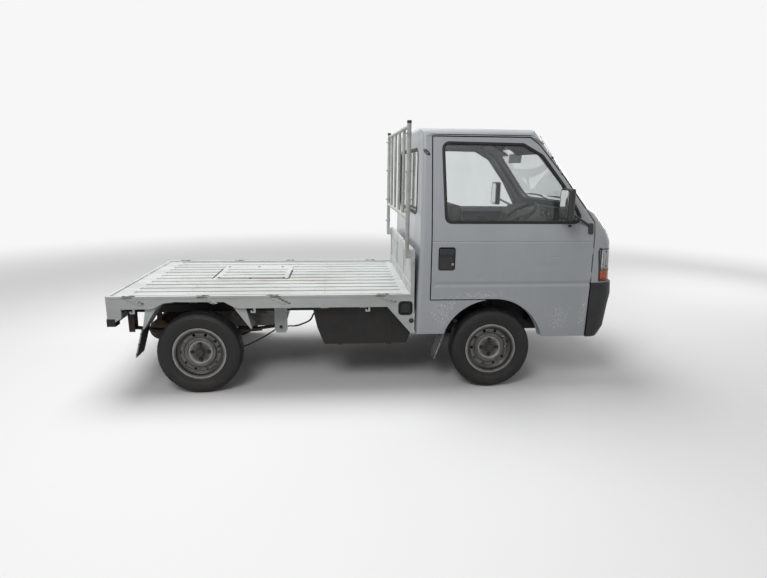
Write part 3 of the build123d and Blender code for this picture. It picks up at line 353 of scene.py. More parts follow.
def finishBedPaint():
    material, tree, shader, coordinates, wear, bump, colour = startFinish("bedPaintWornAndShaded", looks["bedPaint"])
    parts = addNode(tree, "ShaderNodeSeparateXYZ", {0: coordinates}).outputs
    # Feet and loads have rubbed the middle of the deck grey, along its length
    near = useNearPlace(tree, coordinates, bedWearAndShade["middle"], *bedWearAndShade["reach"], bedWearAndShade["stretch"])
    drift = ramp(tree, noise(tree, coordinates, 2.3, 5.0, 0.65), 0.42, 0.6)
    worn = gather(tree, "MULTIPLY", [near, drift, ramp(tree, parts["Z"], *bedWearAndShade["deck"])])
    colour = mixColour(tree, combine(tree, "MULTIPLY", worn, 0.5), colour, opaque(bedWearAndShade["greyColour"]))
    # Each torn place is a dark spot, partly torn paint and partly painted shade, with painted shade along the crease
    # that runs down and forwards from it, on both rails
    size = addNode(tree, "ShaderNodeMath", {0: parts["Y"]}, operation="ABSOLUTE").outputs[0]
    mirrored = addNode(tree, "ShaderNodeCombineXYZ", {"X": parts["X"], "Y": size, "Z": parts["Z"]}).outputs[0]
    masks = []
    for x, fall in bedWearAndShade["tornAndShaded"]:
        masks.append(useNearPlace(tree, mirrored, (x - 6, 672, 640), 1, 34, (0.45, 0.8, 2.8)))
        masks += [useNearPlace(tree, mirrored, (x + run, 672, 637 - run * fall), 1, 15, (0.6, 1, 1.2))
                  for run in bedWearAndShade["creaseShadeRuns"]]
    ragged = combine(tree, "MULTIPLY", noise(tree, coordinates, 60.0, 4.0, 0.7), 0.9)
    tornAndShaded = ramp(tree, combine(tree, "ADD", gather(tree, "MAXIMUM", masks), ragged), 0.86, 1.06)
    # The dark colour is torn paint at the spots and painted shade of the dents and along the creases
    colour = mixColour(tree, combine(tree, "MULTIPLY", tornAndShaded, 0.8), colour, opaque(bedWearAndShade["tornAndShadeColour"]))
    tree.links.new(colour, shader.inputs["Base Color"])
    return material


# Rings on the rims, in metres: radius where each starts, is full, is last full and ends, its share and its colour
rimRings = (
    (0.128, 0.136, 0.150, 0.156, 0.85, (0.03, 0.028, 0.027)), (0.098, 0.103, 0.112, 0.120, 0.5, (0.05, 0.046, 0.042)),
    (0.0, 0.001, 0.052, 0.060, 0.7, (0.04, 0.036, 0.033)), (0.066, 0.070, 0.076, 0.080, 0.8, (0.42, 0.42, 0.41)),
    (0.158, 0.161, 0.170, 0.171, 0.55, (0.34, 0.34, 0.33)),
)
# X of the axles, and Y and Z of the wheels' middles
wheels = dict(Front=800, Rear=-1100, y=607.5, z=268)


def finishRim():
    # The well and the middle are darker, and the lip and the disc's crown are lighter
    material, tree, shader, coordinates, wear, bump, colour = startFinish("rimSteelWorn", looks["rimSteel"])
    reaches = []
    for end in ("Front", "Rear"):
        away = vectorMath(tree, "SUBTRACT", coordinates, (wheels[end] * mm, 0, wheels["z"] * mm))
        reaches.append(vectorMath(tree, "LENGTH", vectorMath(tree, "MULTIPLY", away, (1, 0, 1))))
    reach = gather(tree, "MINIMUM", reaches)
    for start, full, last, gone, share, shade in rimRings:
        band = gather(tree, "MULTIPLY", [ramp(tree, reach, start, full), ramp(tree, reach, last, gone, 1, 0),
                                         ramp(tree, wear["Grain"], 0.2, 0.6, 0.75 * share, share)])
        colour = mixColour(tree, band, colour, opaque(shade))
    tree.links.new(colour, shader.inputs["Base Color"])
    return material


def finishGlass(name, tint, rough=0.02):
    material, tree, shader, coordinates = startMaterial(name)
    wear = useWeathering(tree, coordinates, {**plainLook, "blotchScale": 4, "stretch": (1, 1, 0.4)})
    share = combine(tree, "MULTIPLY", wear["Blotch"], 0.25)
    tree.links.new(mixColour(tree, share, opaque(tint), opaque([c * 0.85 for c in tint])),
                   shader.inputs["Base Color"])
    tree.links.new(ramp(tree, wear["Blotch"], 0, 1, rough, rough + 0.03), shader.inputs["Roughness"])
    for socket, value in (("Transmission Weight", 1), ("IOR", 1.45), ("Specular IOR Level", 0.15)):
        shader.inputs[socket].default_value = value
    return material


def finishLens(name, tint):
    # Moulded lens: clear or coloured, with its ribs as fine bump
    material = finishGlass(name, tint, 0.05)
    tree = material.node_tree
    coordinates = tree.nodes["Texture Coordinate"].outputs["Object"]
    wave = addNode(tree, "ShaderNodeTexWave", {"Vector": coordinates, "Scale": 28},
                   bands_direction="Y").outputs["Fac"]
    bump = addNode(tree, "ShaderNodeBump", {"Height": wave, "Strength": 0.5, "Distance": 0.0015})
    tree.links.new(bump.outputs[0], tree.nodes["Principled BSDF"].inputs["Normal"])
    return material


lensTints = dict(
    clearLens=(0.92, 0.93, 0.93), cornerLens=(0.66, 0.68, 0.66), amberLens=(0.85, 0.26, 0.03),
    redLens=(0.75, 0.02, 0.015),
)
finishes = dict(
    cabPaint=finishCabPaint(), bedPaint=finishBedPaint(), rimSteel=finishRim(),
    windowGlass=finishGlass("windowGlass", (0.84, 0.87, 0.865)),
)
finishes.update({name: finishLens(name, tint) for name, tint in lensTints.items()})
finishes.update({name: startFinish(name, look)[0] for name, look in looks.items() if name not in finishes})
print("finishes made")

# What the record's slots look like
slotLooks = dict(
    cab_paint="cabPaint", bed_paint="bedPaint", chassis_black="chassisBlack", bumper_plastic="bumperPlastic",
    mirror_plastic="mirrorPlastic",
    glass="windowGlass", lamp_lens="clearLens", tail_lens="redLens", tyre="tyreRubber", rim_steel="rimSteel",
    rubber="sealRubber",
    dash_plastic="greyPlastic", seat_vinyl="seatVinyl", steering_plastic="darkPlastic", engine_alloy="engineAlloy",
    exhaust_steel="exhaustSteel", spring_steel="springSteel",
)
nodeLooks = dict(cab_floor="chassisBlack", guard_frame="guardPaint", interior_mirror="paleTrim")


def smoothTree():
    # Welds a solid's triangles and shades what bends gently as one surface
    group, given, out = startGroup("smoothPanels", {"Geometry": "Geometry", "Angle": 0.45}, {"Geometry": "Geometry"},
                                   "GeometryNodeTree")
    welded = addNode(group, "GeometryNodeMergeByDistance", {"Geometry": given["Geometry"],
                                                            "Distance": 0.00001}).outputs[0]
    smooth = addNode(group, "GeometryNodeSetShadeSmooth", {"Geometry": welded, "Shade Smooth": True},
                     domain="FACE").outputs[0]
    bend = group.nodes.new("GeometryNodeInputMeshEdgeAngle").outputs["Unsigned Angle"]
    sharp = addNode(group, "FunctionNodeCompare", {0: bend, 1: given["Angle"]}, data_type="FLOAT",
                    operation="GREATER_THAN").outputs[0]
    edges = addNode(group, "GeometryNodeSetShadeSmooth", {"Geometry": smooth, "Selection": sharp,
                                                          "Shade Smooth": False}, domain="EDGE").outputs[0]
    group.links.new(edges, out["Geometry"])
    return group


def finishSolids():
    # Door skins and cab sides keep their pressed lines, so less of a bend is smoothed there
    smoothPanels = smoothTree()
    angleSocket = next(item.identifier for item in smoothPanels.interface.items_tree if item.name == "Angle")
    slotOf = {part["node"]: part["material_slot"] for part in frame["record"]["subparts"]}
    for nodeName, node in nodes.items():
        node.data.materials.clear()
        node.data.materials.append(finishes[nodeLooks.get(nodeName) or slotLooks[slotOf[nodeName]]])
        modifier = node.modifiers.new("smoothPanels", "NODES")
        modifier.node_group = smoothPanels
        if nodeName in ("door_left", "door_right", "cab_sides"):
            modifier[angleSocket] = 0.12


finishSolids()
print("solids finished")

# Floor and lamps, in metres; a lamp has its place, its aim, its size and its power
stage = dict(
    floor=0.80, bounce=0.3, background=0.93, soft=0.3, radius=40, fadeFrom=3.6, fadeTo=9.0,
    lamps=dict(
        topLight=((-1.2, 0.8, 5.2), (-0.1, 0, 0.6), 4.0, 235), frontLight=((5.2, 2.6, 2.6), (0.4, 0, 0.8), 2.6, 75),
        sideLight=((-1.6, -4.4, 4.2), (0, 0, 0.7), 2.4, 105),
    ),
)


def grey(value):
    return (value, value, value, 1)


def seenRays(tree, rays):
    # What the camera sees, straight or by way of gloss and glass
    return gather(tree, "MAXIMUM", [rays["Is Glossy Ray"], rays["Is Transmission Ray"], rays["Is Camera Ray"]])


def makeFloor():
    mesh = bpy.data.meshes.new("floor")
    shape = bmesh.new()
    bmesh.ops.create_circle(shape, cap_ends=True, segments=96, radius=stage["radius"])
    shape.to_mesh(mesh)
    shape.free()
    floor = bpy.data.objects.new("floor", mesh)
    collection.objects.link(floor)
    material = bpy.data.materials.new("floorPale")
    material.use_nodes = True
    tree = material.node_tree
    tree.nodes.clear()
    coordinates = tree.nodes.new("ShaderNodeTexCoord").outputs["Object"]
    far = ramp(tree, vectorMath(tree, "LENGTH", coordinates), stage["fadeFrom"], stage["fadeTo"])
    rays = tree.nodes.new("ShaderNodeLightPath").outputs
    # The floor shows pale, and throws less light back up than it shows
    colour = mixColour(tree, rays["Is Diffuse Ray"], grey(stage["floor"]), grey(stage["bounce"]))
    pale = addNode(tree, "ShaderNodeBsdfDiffuse", {"Color": colour}).outputs[0]
    glow = addNode(tree, "ShaderNodeEmission", {"Color": grey(stage["background"])}).outputs[0]
    share = combine(tree, "MULTIPLY", far, seenRays(tree, rays))
    surface = addNode(tree, "ShaderNodeMixShader", {0: share, 1: pale, 2: glow}).outputs[0]
    tree.links.new(surface, tree.nodes.new("ShaderNodeOutputMaterial").inputs["Surface"])
    mesh.materials.append(material)


def makeWorld():
    world = bpy.data.worlds.new("studio")
    bpy.context.scene.world = world
    world.use_nodes = True
    tree = world.node_tree
    tree.nodes.clear()
    seen = seenRays(tree, tree.nodes.new("ShaderNodeLightPath").outputs)
    soft = addNode(tree, "ShaderNodeBackground", {"Color": grey(1), "Strength": stage["soft"]}).outputs[0]
    pale = addNode(tree, "ShaderNodeBackground", {"Color": grey(stage["background"]), "Strength": 1.0}).outputs[0]
    mixed = addNode(tree, "ShaderNodeMixShader", {0: seen, 1: soft, 2: pale}).outputs[0]
    tree.links.new(mixed, tree.nodes.new("ShaderNodeOutputWorld").inputs["Surface"])


def makeLamp(name, place, aim, size, power):
    lamp = bpy.data.lights.new(name, "AREA")
    lamp.shape, lamp.size, lamp.energy = "DISK", size, power
    holder = bpy.data.objects.new(name, lamp)
    holder.location = place
    holder.rotation_mode = "QUATERNION"
    holder.rotation_quaternion = (Vector(aim) - Vector(place)).to_track_quat("-Z", "Y")
    collection.objects.link(holder)


makeFloor()
makeWorld()
for name, settings in stage["lamps"].items():
    makeLamp(name, *settings)
bpy.context.scene.view_settings.view_transform = "Standard"
print("stage set")


# Making pieces
def evaluatedMesh(holder):
    return bpy.data.meshes.new_from_object(holder.evaluated_get(bpy.context.evaluated_depsgraph_get()))


def recalculate(mesh):
    shape = bmesh.new()
    shape.from_mesh(mesh)
    bmesh.ops.recalc_face_normals(shape, faces=shape.faces)
    shape.to_mesh(mesh)
    shape.free()


def addPiece(name, part, finish, body="chassis", smooth=True):
    # A part is a pair of points and faces
    verts, faces = part
    mesh = bpy.data.meshes.new(name)
    mesh.from_pydata([Vector(v) * mm for v in verts], [], faces)
    mesh.validate()
    recalculate(mesh)
    mesh.materials.append(finishes[finish])
    piece = bpy.data.objects.new(name, mesh)
    collection.objects.link(piece)
    if smooth:
        mesh.shade_smooth()
        mesh.set_sharp_from_angle(angle=0.6)
    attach(piece, body)
    return piece


def joinParts(parts):
    # Several parts as one
    verts, faces = [], []
    for points, polygons in parts:
        base = len(verts)
        verts += [Vector(p) for p in points]
        faces += [[base + i for i in polygon] for polygon in polygons]
    return verts, faces


def ringFaces(rows, columns, closedRows, closedColumns, base=0):
    # Quads of a grid of points that may close on itself either way
    faces = []
    for i in range(rows if closedRows else rows - 1):
        for j in range(columns if closedColumns else columns - 1):
            a, b = base + i * columns, base + (i + 1) % rows * columns
            k = (j + 1) % columns
            faces.append([a + j, a + k, b + k, b + j])
    return faces


def sweep(path, normals, profile):
    # A profile of (inwards, outwards) offsets carried round a loop; inwards is normal x tangent
    points, count = [], len(path)
    for i, (spot, normal) in enumerate(zip(path, normals)):
        tangent = (path[(i + 1) % count] - path[i - 1]).normalized()
        inwards = normal.cross(tangent).normalized()
        points += [spot + inwards * u + normal * v for u, v in profile]
    return points, ringFaces(count, len(profile), True, True)


def tube(path, radius, sides=10):
    # A round bar along a path, with a steady frame; the radius is one value or one for each point
    path = [Vector(p) for p in path]
    normal = (path[1] - path[0]).orthogonal().normalized()
    points = []
    for i, spot in enumerate(path):
        before, after = path[max(i - 1, 0)], path[min(i + 1, len(path) - 1)]
        tangent = (after - before).normalized()
        normal = (normal - tangent * normal.dot(tangent)).normalized()
        side = tangent.cross(normal)
        size = radius[i] if isinstance(radius, (list, tuple)) else radius
        turns = [math.tau * k / sides for k in range(sides)]
        points += [spot + (normal * math.cos(a) + side * math.sin(a)) * size for a in turns]
    faces = ringFaces(len(path), sides, False, True)
    return points, faces + [list(range(sides))[::-1], [(len(path) - 1) * sides + j for j in range(sides)]]


def lathe(profile, centre, axis=alongY, across=alongX, segments=48):
    # A profile of (along the axis, radius) turned about the axis
    centre, axis, across = Vector(centre), Vector(axis), Vector(across)
    third = axis.cross(across)
    points = []
    for along, radius in profile:
        for k in range(segments):
            a = math.tau * k / segments
            points.append(centre + axis * along + (across * math.cos(a) + third * math.sin(a)) * radius)
    return points, ringFaces(len(profile), segments, False, True)


def block(x, y, z):
    points = [(a, b, c) for a in x for b in y for c in z]
    faces = [[0, 1, 3, 2], [4, 6, 7, 5], [0, 4, 5, 1], [2, 3, 7, 6], [0, 2, 6, 4], [1, 5, 7, 3]]
    return [Vector(p) for p in points], faces


def plate(outline, front, back):
    # A flat outline with a face at the front and one at the back, each placed by a function
    count = len(outline)
    faces = [list(range(count)), [count + j for j in range(count - 1, -1, -1)]]
    faces += [[j, (j + 1) % count, count + (j + 1) % count, count + j] for j in range(count)]
    return [front(x, z) for x, z in outline] + [back(x, z) for x, z in outline], faces


def softEdges(piece, width, segments=2):
    bevel = piece.modifiers.new("softEdges", "BEVEL")
    bevel.width, bevel.segments, bevel.limit_method = width * mm, segments, "ANGLE"
    bevel.harden_normals = True
    return piece


def roundedLoop(corners, radius, steps=7, spacing=60):
    # A closed outline with rounded corners, its long runs divided
    points, count = [], len(corners)
    for i in range(count):
        before, spot, after = (Vector(corners[k % count]) for k in (i - 1, i, i + 1))
        one, two = (before - spot).normalized(), (after - spot).normalized()
        half = one.angle(two) / 2
        reach = radius / math.tan(half)
        centre = spot + (one + two).normalized() * (radius / math.sin(half))
        start, end = spot + one * reach - centre, spot + two * reach - centre
        for k in range(steps + 1):
            share = k / steps
            points.append(centre + start.slerp(end, share).normalized() * radius)
    loop = []
    for i, spot in enumerate(points):
        loop.append(spot)
        after = points[(i + 1) % len(points)]
        extra = int((after - spot).length // spacing)
        loop += [spot.lerp(after, (k + 1) / (extra + 1)) for k in range(extra)]
    return loop


# Skin of the cab: height, back x, front x on the centre line, half width, corner radius
cabRows = (
    (330, 293, 1585, 677, 95), (620, 297, 1615, 692, 105), (715, 300, 1624, 697, 110), (985, 308, 1610, 697, 112),
    (1065, 309, 1582, 691, 110), (1171, 311, 1502, 676, 105), (1205, 311, 1450, 672, 100), (1598, 312, 1152, 612, 85),
    (1740, 312, 1036, 590, 80),
)
cabBow = 38


def cabRow(z):
    for low, high in zip(cabRows, cabRows[1:]):
        if z <= high[0]:
            share = (z - low[0]) / (high[0] - low[0])
            return [a + (b - a) * share for a, b in zip(low, high)]
    return list(cabRows[-1])


def sideSpot(x, z, side, proud=0.0):
    return Vector((x, side * (cabRow(z)[3] + proud), z))


def sideNormal(z, side):
    lean = (cabRow(z - 5)[3] - cabRow(z + 5)[3]) / 10
    return Vector((0, side, lean)).normalized()


def bowRadius(half):
    return (half * half + cabBow * cabBow) / (2 * cabBow)


def frontSpot(y, z, proud=0.0):
    _, _, front, half, _ = cabRow(z)
    radius = bowRadius(half)
    return Vector((front - radius + math.sqrt(radius * radius - y * y) + proud, y, z))


def frontNormal(y, z):
    across = frontSpot(y + 1, z) - frontSpot(y - 1, z)
    upwards = frontSpot(y, z + 4) - frontSpot(y, z - 4)
    return across.cross(upwards).normalized()


def cornerSpot(angle, z, side, proud=0.0):
    # On the rounded front corner; the angle is 90 at the side and about 5 at the front
    _, _, front, half, corner = cabRow(z)
    radius = bowRadius(half)
    y = half - corner
    x = front - radius + math.sqrt((radius - corner) ** 2 - y * y)
    return Vector((x + (corner + proud) * math.cos(angle), side * (y + (corner + proud) * math.sin(angle)), z))


# Window seals; the profile is (inwards, outwards), and a wider seal is the same one stretched
seals = dict(
    door=[(470, 1113), (448, 1597), (958, 1592), (1080, 1525), (1228, 1336), (1360, 1113)], doorCorner=35,
    screen=[(-565, 1212), (565, 1212), (520, 1606), (-520, 1606)], screenWidth=1.4,
    rear=[(-470, 1150), (470, 1150), (470, 1560), (-470, 1560)], rearWidth=1.2, corner=60,
    profile=[(-11, 0.2), (-10, 2.6), (-5, 4.4), (2, 4.2), (7, 0.5), (10, -5.2), (9, -5.8), (0.4, -5.8), (0.2, 0.2)],
)


def loopTurn(path, normals):
    # Positive where the loop runs anticlockwise as seen from outside
    total = Vector((0, 0, 0))
    for a, b in zip(path, path[1:] + path[:1]):
        total += a.cross(b)
    return total.dot(normals[0])


def turnOutwards(path, normals):
    if loopTurn(path, normals) < 0:
        path.reverse()
        normals.reverse()


def makeSeal(name, outline, corner, width, spot, normal, body="chassis"):
    loop = roundedLoop([(x, z, 0) for x, z in outline], corner)
    path, normals = [spot(p.x, p.y) for p in loop], [normal(p.x, p.y) for p in loop]
    turnOutwards(path, normals)
    profile = [(inwards * width, outwards) for inwards, outwards in seals["profile"]]
    addPiece(name, sweep(path, normals, profile), "sealRubber", body)


for label, side in sides.items():
    makeSeal(f"doorWindowSeal{label}", seals["door"], seals["doorCorner"], 1, lambda x, z: sideSpot(x, z, side),
             lambda x, z: sideNormal(z, side), f"door_{label.lower()}")
makeSeal("windscreenSeal", seals["screen"], seals["corner"], seals["screenWidth"], frontSpot, frontNormal)
makeSeal("rearWindowSeal", seals["rear"], seals["corner"], seals["rearWidth"],
         lambda y, z: Vector((cabRow(z)[1], y, z)), lambda y, z: -alongX)
print("seals made")


# Repeats by Geometry Nodes: along a line, around a centre, or both
def makeRepeatTree():
    group, given, out = startGroup(
        "repeatPieces",
        {"Geometry": "Geometry", "Count": 4, "Offset": (0.0, 0.0, 0.0), "Turn": (0.0, 0.0, 0.0),
         "Material": "Material"},
        {"Geometry": "Geometry"}, "GeometryNodeTree",
    )
    line = addNode(group, "GeometryNodeMeshLine", {"Count": given["Count"], "Offset": given["Offset"]}, mode="OFFSET")
    index = group.nodes.new("GeometryNodeInputIndex").outputs[0]
    turned = addNode(group, "ShaderNodeVectorMath", {0: given["Turn"], "Scale": index}, operation="SCALE").outputs[0]
    placed = {"Points": line.outputs[0], "Instance": given["Geometry"], "Rotation": turned}
    copies = addNode(group, "GeometryNodeInstanceOnPoints", placed).outputs[0]
    real = addNode(group, "GeometryNodeRealizeInstances", {"Geometry": copies}).outputs[0]
    painted = addNode(group, "GeometryNodeSetMaterial", {"Geometry": real, "Material": given["Material"]}).outputs[0]
    group.links.new(painted, out["Geometry"])
    return group


repeatPieces = makeRepeatTree()
repeatSockets = {item.name: item.identifier for item in repeatPieces.interface.items_tree if item.in_out == "INPUT"}


def bakeRepeat(part, finish, count, offset=(0, 0, 0), turn=(0, 0, 0), centre=(0, 0, 0)):
    # Gives the points and faces of the repeats; the part stands round the origin
    verts, faces = part
    mesh = bpy.data.meshes.new("repeatBase")
    mesh.from_pydata([Vector(v) for v in verts], [], faces)
    holder = bpy.data.objects.new("repeatBase", mesh)
    collection.objects.link(holder)
    modifier = holder.modifiers.new("repeatPieces", "NODES")
    modifier.node_group = repeatPieces
    for socket, value in (("Count", count), ("Offset", offset), ("Turn", turn), ("Material", finishes[finish])):
        modifier[repeatSockets[socket]] = value
    made = evaluatedMesh(holder)
    result = [Vector(centre) + v.co for v in made.vertices], [list(polygon.vertices) for polygon in made.polygons]
    bpy.data.objects.remove(holder)
    bpy.data.meshes.remove(mesh)
    bpy.data.meshes.remove(made)
    return result


def shell(grid, thick):
    # A closed sheet behind a grid of points; its inner side lies at the thickness along the normals
    rows, columns = len(grid), len(grid[0])
    outer = [p for row in grid for p in row]
    inner = []
    for i in range(rows):
        for j in range(columns):
            across = grid[i][min(j + 1, columns - 1)] - grid[i][max(j - 1, 0)]
            upwards = grid[min(i + 1, rows - 1)][j] - grid[max(i - 1, 0)][j]
            inner.append(grid[i][j] - across.cross(upwards).normalized() * thick)
    faces = ringFaces(rows, columns, False, False) + [f[::-1] for f in ringFaces(rows, columns, False, False,
        rows * columns)]
    edge = [j for j in range(columns)] + [i * columns + columns - 1 for i in range(1, rows)]
    edge += [(rows - 1) * columns + j for j in range(columns - 2, -1, -1)] + [i * columns for i in range(rows - 2, 0,
        -1)]
    for a, b in zip(edge, edge[1:] + edge[:1]):
        faces.append([b, a, a + rows * columns, b + rows * columns])
    return outer + inner, faces


def spaced(points, count):
    # The same line with evenly spaced points
    lengths = [0]
    for a, b in zip(points, points[1:]):
        lengths.append(lengths[-1] + (b - a).length)
    result, k = [], 0
    for i in range(count):
        at = lengths[-1] * i / (count - 1)
        while k < len(points) - 2 and lengths[k + 1] < at:
            k += 1
        share = (at - lengths[k]) / (lengths[k + 1] - lengths[k])
        result.append(points[k].lerp(points[k + 1], share))
    return result


def sideLathe(profile, centre, side, segments):
    # A profile of (outwards, radius) turned about an axis that points out of the truck's side
    return lathe([(side * out, radius) for out, radius in profile], centre, segments=segments)


# Tyres: the wall is (outwards, radius); a tread block has a place in its pitch on each shoulder, the half blocks from
# there to its start and end, and rows of (outwards, radius, start, end)
tyre = dict(
    wall=[(50, 152.8), (51.6, 156), (51.6, 168.8), (57.5, 169.4), (60, 173), (61.5, 177), (64.6, 179), (65.4, 183),
          (64.8, 187), (68.6, 196), (71.4, 207), (72.4, 216), (72.2, 224), (71.2, 231), (71.6, 232.2), (71.0, 235),
          (69.9, 236), (67.9, 244), (65, 251), (60, 256.5), (52, 260), (30, 261.6), (0, 262)],
    segments=120, pitches=58, gap=1.6, depth=7.5,
    middle=(((-1, 0), ((-12, 267.6, -3, -4), (-4.5, 268, 0, -1), (12, 267.7, 3, 2))),
            ((0, 1), ((-12, 267.6, -2, -3), (-4.5, 268, 1, 0), (12, 267.7, 4, 3)))),
    shoulders=(
        ((0.175, 0.425), (-1, 1), ((16.5, 267.6, 0, -2), (25, 267.2, 2.5, 0.5), (33, 266.6, 0, -2))),
        ((0.1, 0.6), (-1, 0), ((37.5, 266, 1, -1.2), (50, 264.4, 2, -0.8), (58.5, 261, 2, -0.8),
                               (64.5, 254.5, 3, -1.5),
                               (68.2, 246.5, 4, -2.5))),
        ((0.1, 0.6), (0, 1), ((37.5, 266, 0.2, 0), (50, 264.4, 0.8, 0.8), (58.5, 261, 0.8, 0.8),
                              (63.4, 256, 1.6, 0))),
    ),
)


def wheelCentre(end, side):
    return Vector((wheels[end], side * wheels["y"], wheels["z"]))


def wheelSpot(centre, side, out, radius, angle=0.0):
    return Vector((centre[0] + radius * math.sin(angle), centre[1] + side * out,
                   centre[2] + radius * math.cos(angle)))


def treadBlock(rows, side):
    # One tread block, a little wider at its foot: rows of (outwards, radius, start, end), the last two along the tread
    points, depth = [], tyre["depth"]
    for out, radius, start, end in rows:
        for along, drop in ((start, 0), (end, 0), (end + 0.7, depth), (start - 0.7, depth)):
            points.append(wheelSpot((0, 0, 0), side, out, radius - drop, along / wheels["z"]))
    faces = ringFaces(len(rows), 4, False, True)
    return points, faces + [[0, 1, 2, 3], [len(points) - 4 + k for k in (3, 2, 1, 0)]]


def treadPitch(side):
    # Blocks of one pitch: a pair in the middle, one in each inner row, and a pair on each shoulder
    pitch = math.tau * wheels["z"] / tyre["pitches"]
    half = pitch / 2 - tyre["gap"]
    blocks = [(1, 0, limits, rows) for limits, rows in tyre["middle"]]
    blocks += [(s, pitch * places[s < 0], limits, rows) for s in (1, -1) for places, limits,
               rows in tyre["shoulders"]]
    parts = []
    for s, place, (low, high), rows in blocks:
        parts.append(treadBlock([(s * out, radius, place + low * half + start, place + high * half + end)
                                 for out, radius, start, end in rows], side))
    return joinParts(parts)


def makeTyre(end, label, side):
    profile = tyre["wall"] + [(-out, radius) for out, radius in tyre["wall"][-2::-1]]
    centre, count, base = wheelCentre(end, side), tyre["segments"], (len(profile) - 1) * tyre["segments"]
    carcass = sideLathe(profile, centre, side, count)
    carcass[1].extend([base + j, base + (j + 1) % count, (j + 1) % count, j] for j in range(count))
    tread = bakeRepeat(treadPitch(side), "tyreRubber", tyre["pitches"], turn=(0, math.tau / tyre["pitches"], 0),
                       centre=centre)
    piece = addPiece(f"tyre{end}{label}", joinParts([carcass, tread]), "tyreRubber",
                     f"wheel_{end}_{label}".lower())
    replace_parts(piece, f"tyre_{end}_{label}".lower())


def hexNut(across, high, stud):
    # A chamfered nut along +Y with its stud's end
    points, r = [], across / math.sqrt(3)
    for out, radius in ((0, r), (high - 2, r), (high, r * 0.88)):
        points += [Vector((radius * math.cos(k * math.pi / 3), out,
                           radius * math.sin(k * math.pi / 3))) for k in range(6)]
    faces = ringFaces(3, 6, False, True) + [list(range(6)), [12 + k for k in range(5, -1, -1)]]
    top = high + stud
    end = lathe([(high - 0.5, 0.01), (high - 0.5, 5.4), (top - 1, 5.4), (top, 4.2), (top, 0.01)], (0, 0, 0),
                segments=14)
    return joinParts([(points, faces), end])


# Nuts, cap and valve of a wheel; profiles are (outwards, radius), and the valve's ends are (outwards, radius, angle)
wheelTrim = dict(
    nut=(17, 13, 5), nutPlane=21.6, nutCircle=52, nutSeat=[(21.8, 9.5), (24.6, 11), (24.6, 13.5), (21.8, 15)],
    cap=[(33.6, 30.9), (35.4, 30.6), (36.2, 29.4), (36.4, 25.5), (47.6, 24.6), (50.2, 22.6), (51.4, 18), (51.6, 8),
         (50.6, 6), (50.6, 0.01)],
    valveRoot=(24, 128, 1.25), valveTip=(54, 121, 1.25),
)


def makeWheelTrim(end, label, side):
    centre, body = wheelCentre(end, side), f"wheel_{end}_{label}".lower()
    points, faces = hexNut(*wheelTrim["nut"])
    out, circle = wheelTrim["nutPlane"], wheelTrim["nutCircle"]
    nut = [Vector((p.x, side * (p.y + out), p.z + circle)) for p in points], faces
    seat = sideLathe(wheelTrim["nutSeat"], (0, 0, circle), side, 20)
    nuts = [bakeRepeat(part, "hubBlack", 4, turn=(0, math.pi / 2, 0), centre=centre) for part in (nut, seat)]
    addPiece(f"wheelNuts{end}{label}", joinParts(nuts), "hubBlack", body)
    addPiece(f"hubCap{end}{label}", sideLathe(wheelTrim["cap"], centre, side, 40), "hubBlack", body)
    # Tyre valve through the rim, beside one of the vents
    root, tip = (wheelSpot(centre, side, *wheelTrim[key]) for key in ("valveRoot", "valveTip"))
    stem = [tube([root, root.lerp(tip, 0.5), tip], [5.5, 4.6, 3.2], 12),
            tube([tip, tip.lerp(tip * 2 - root, 0.22)], 3.9, 12)]
    addPiece(f"valve{end}{label}", joinParts(stem), "sealRubber", body)


for end in ("Front", "Rear"):
    for label, side in sides.items():
        makeTyre(end, label, side)
        makeWheelTrim(end, label, side)
print("wheels made")


# Outside of the cab
def loopRings(outline, corner, levels, place, cap=True):
    # Rings of a rounded outline, each drawn in and moved along the normal; the last one is closed
    points, count = [], None
    middle = Vector((sum(p[0] for p in outline) / len(outline), sum(p[1] for p in outline) / len(outline), 0))
    for inset, out in levels:
        drawn = []
        for p in outline:
            away = Vector((p[0], p[1], 0)) - middle
            drawn.append(middle + Vector((away.x - math.copysign(inset, away.x),
                                          away.y - math.copysign(inset, away.y), 0)))
        ring = roundedLoop(drawn, max(corner - inset, 2), 5, 40)
        if count is None:
            count = len(ring)
        ring = spaced(ring + ring[:1], count + 1)[:-1]
        points += [place(p.x, p.y, out) for p in ring]
    faces = ringFaces(len(levels), count, False, True)
    if cap:
        faces.append([(len(levels) - 1) * count + j for j in range(count)])
    return points, faces


def rectangle(x, z):
    return [(x[0], z[0]), (x[1], z[0]), (x[1], z[1]), (x[0], z[1])]


def sidePlace(side):
    return lambda x, z, out: sideSpot(x, z, side, out)


# Handle, lock and plug of a door; rings are (drawn in, outwards),
# and the barrel and plug are (outwards, radius or share)
doorTrim = dict(
    handle=((423, 532), (807, 956)), handleCorner=14,
    liner=[(0.6, -9), (-1.4, 0.2), (-1.6, 1.4), (0, 2.0), (3, 1.8), (4.4, 0.6), (7, -9.6), (11, -10.4)],
    paddle=((429, 526), (903, 945)), paddleCorner=9,
    paddleRings=[(2, -8), (0.6, -1), (0, 2.4), (0.5, 4.0), (2.2, 5.2), (5, 5.6), (14, 5.4)],
    keyhole=(517, 846), barrel=[(-9, 8.5), (-2.4, 8.5), (-1.4, 7.6), (-1.4, 5.6), (-2, 5.2), (-2, 0.01)],
    plug=(1270, 1091), plugSize=(13, 7.5), plugRings=((0.1, 1.0), (1.6, 1.0), (2.4, 0.85), (2.9, 0.5), (3.0, 0.05)),
)


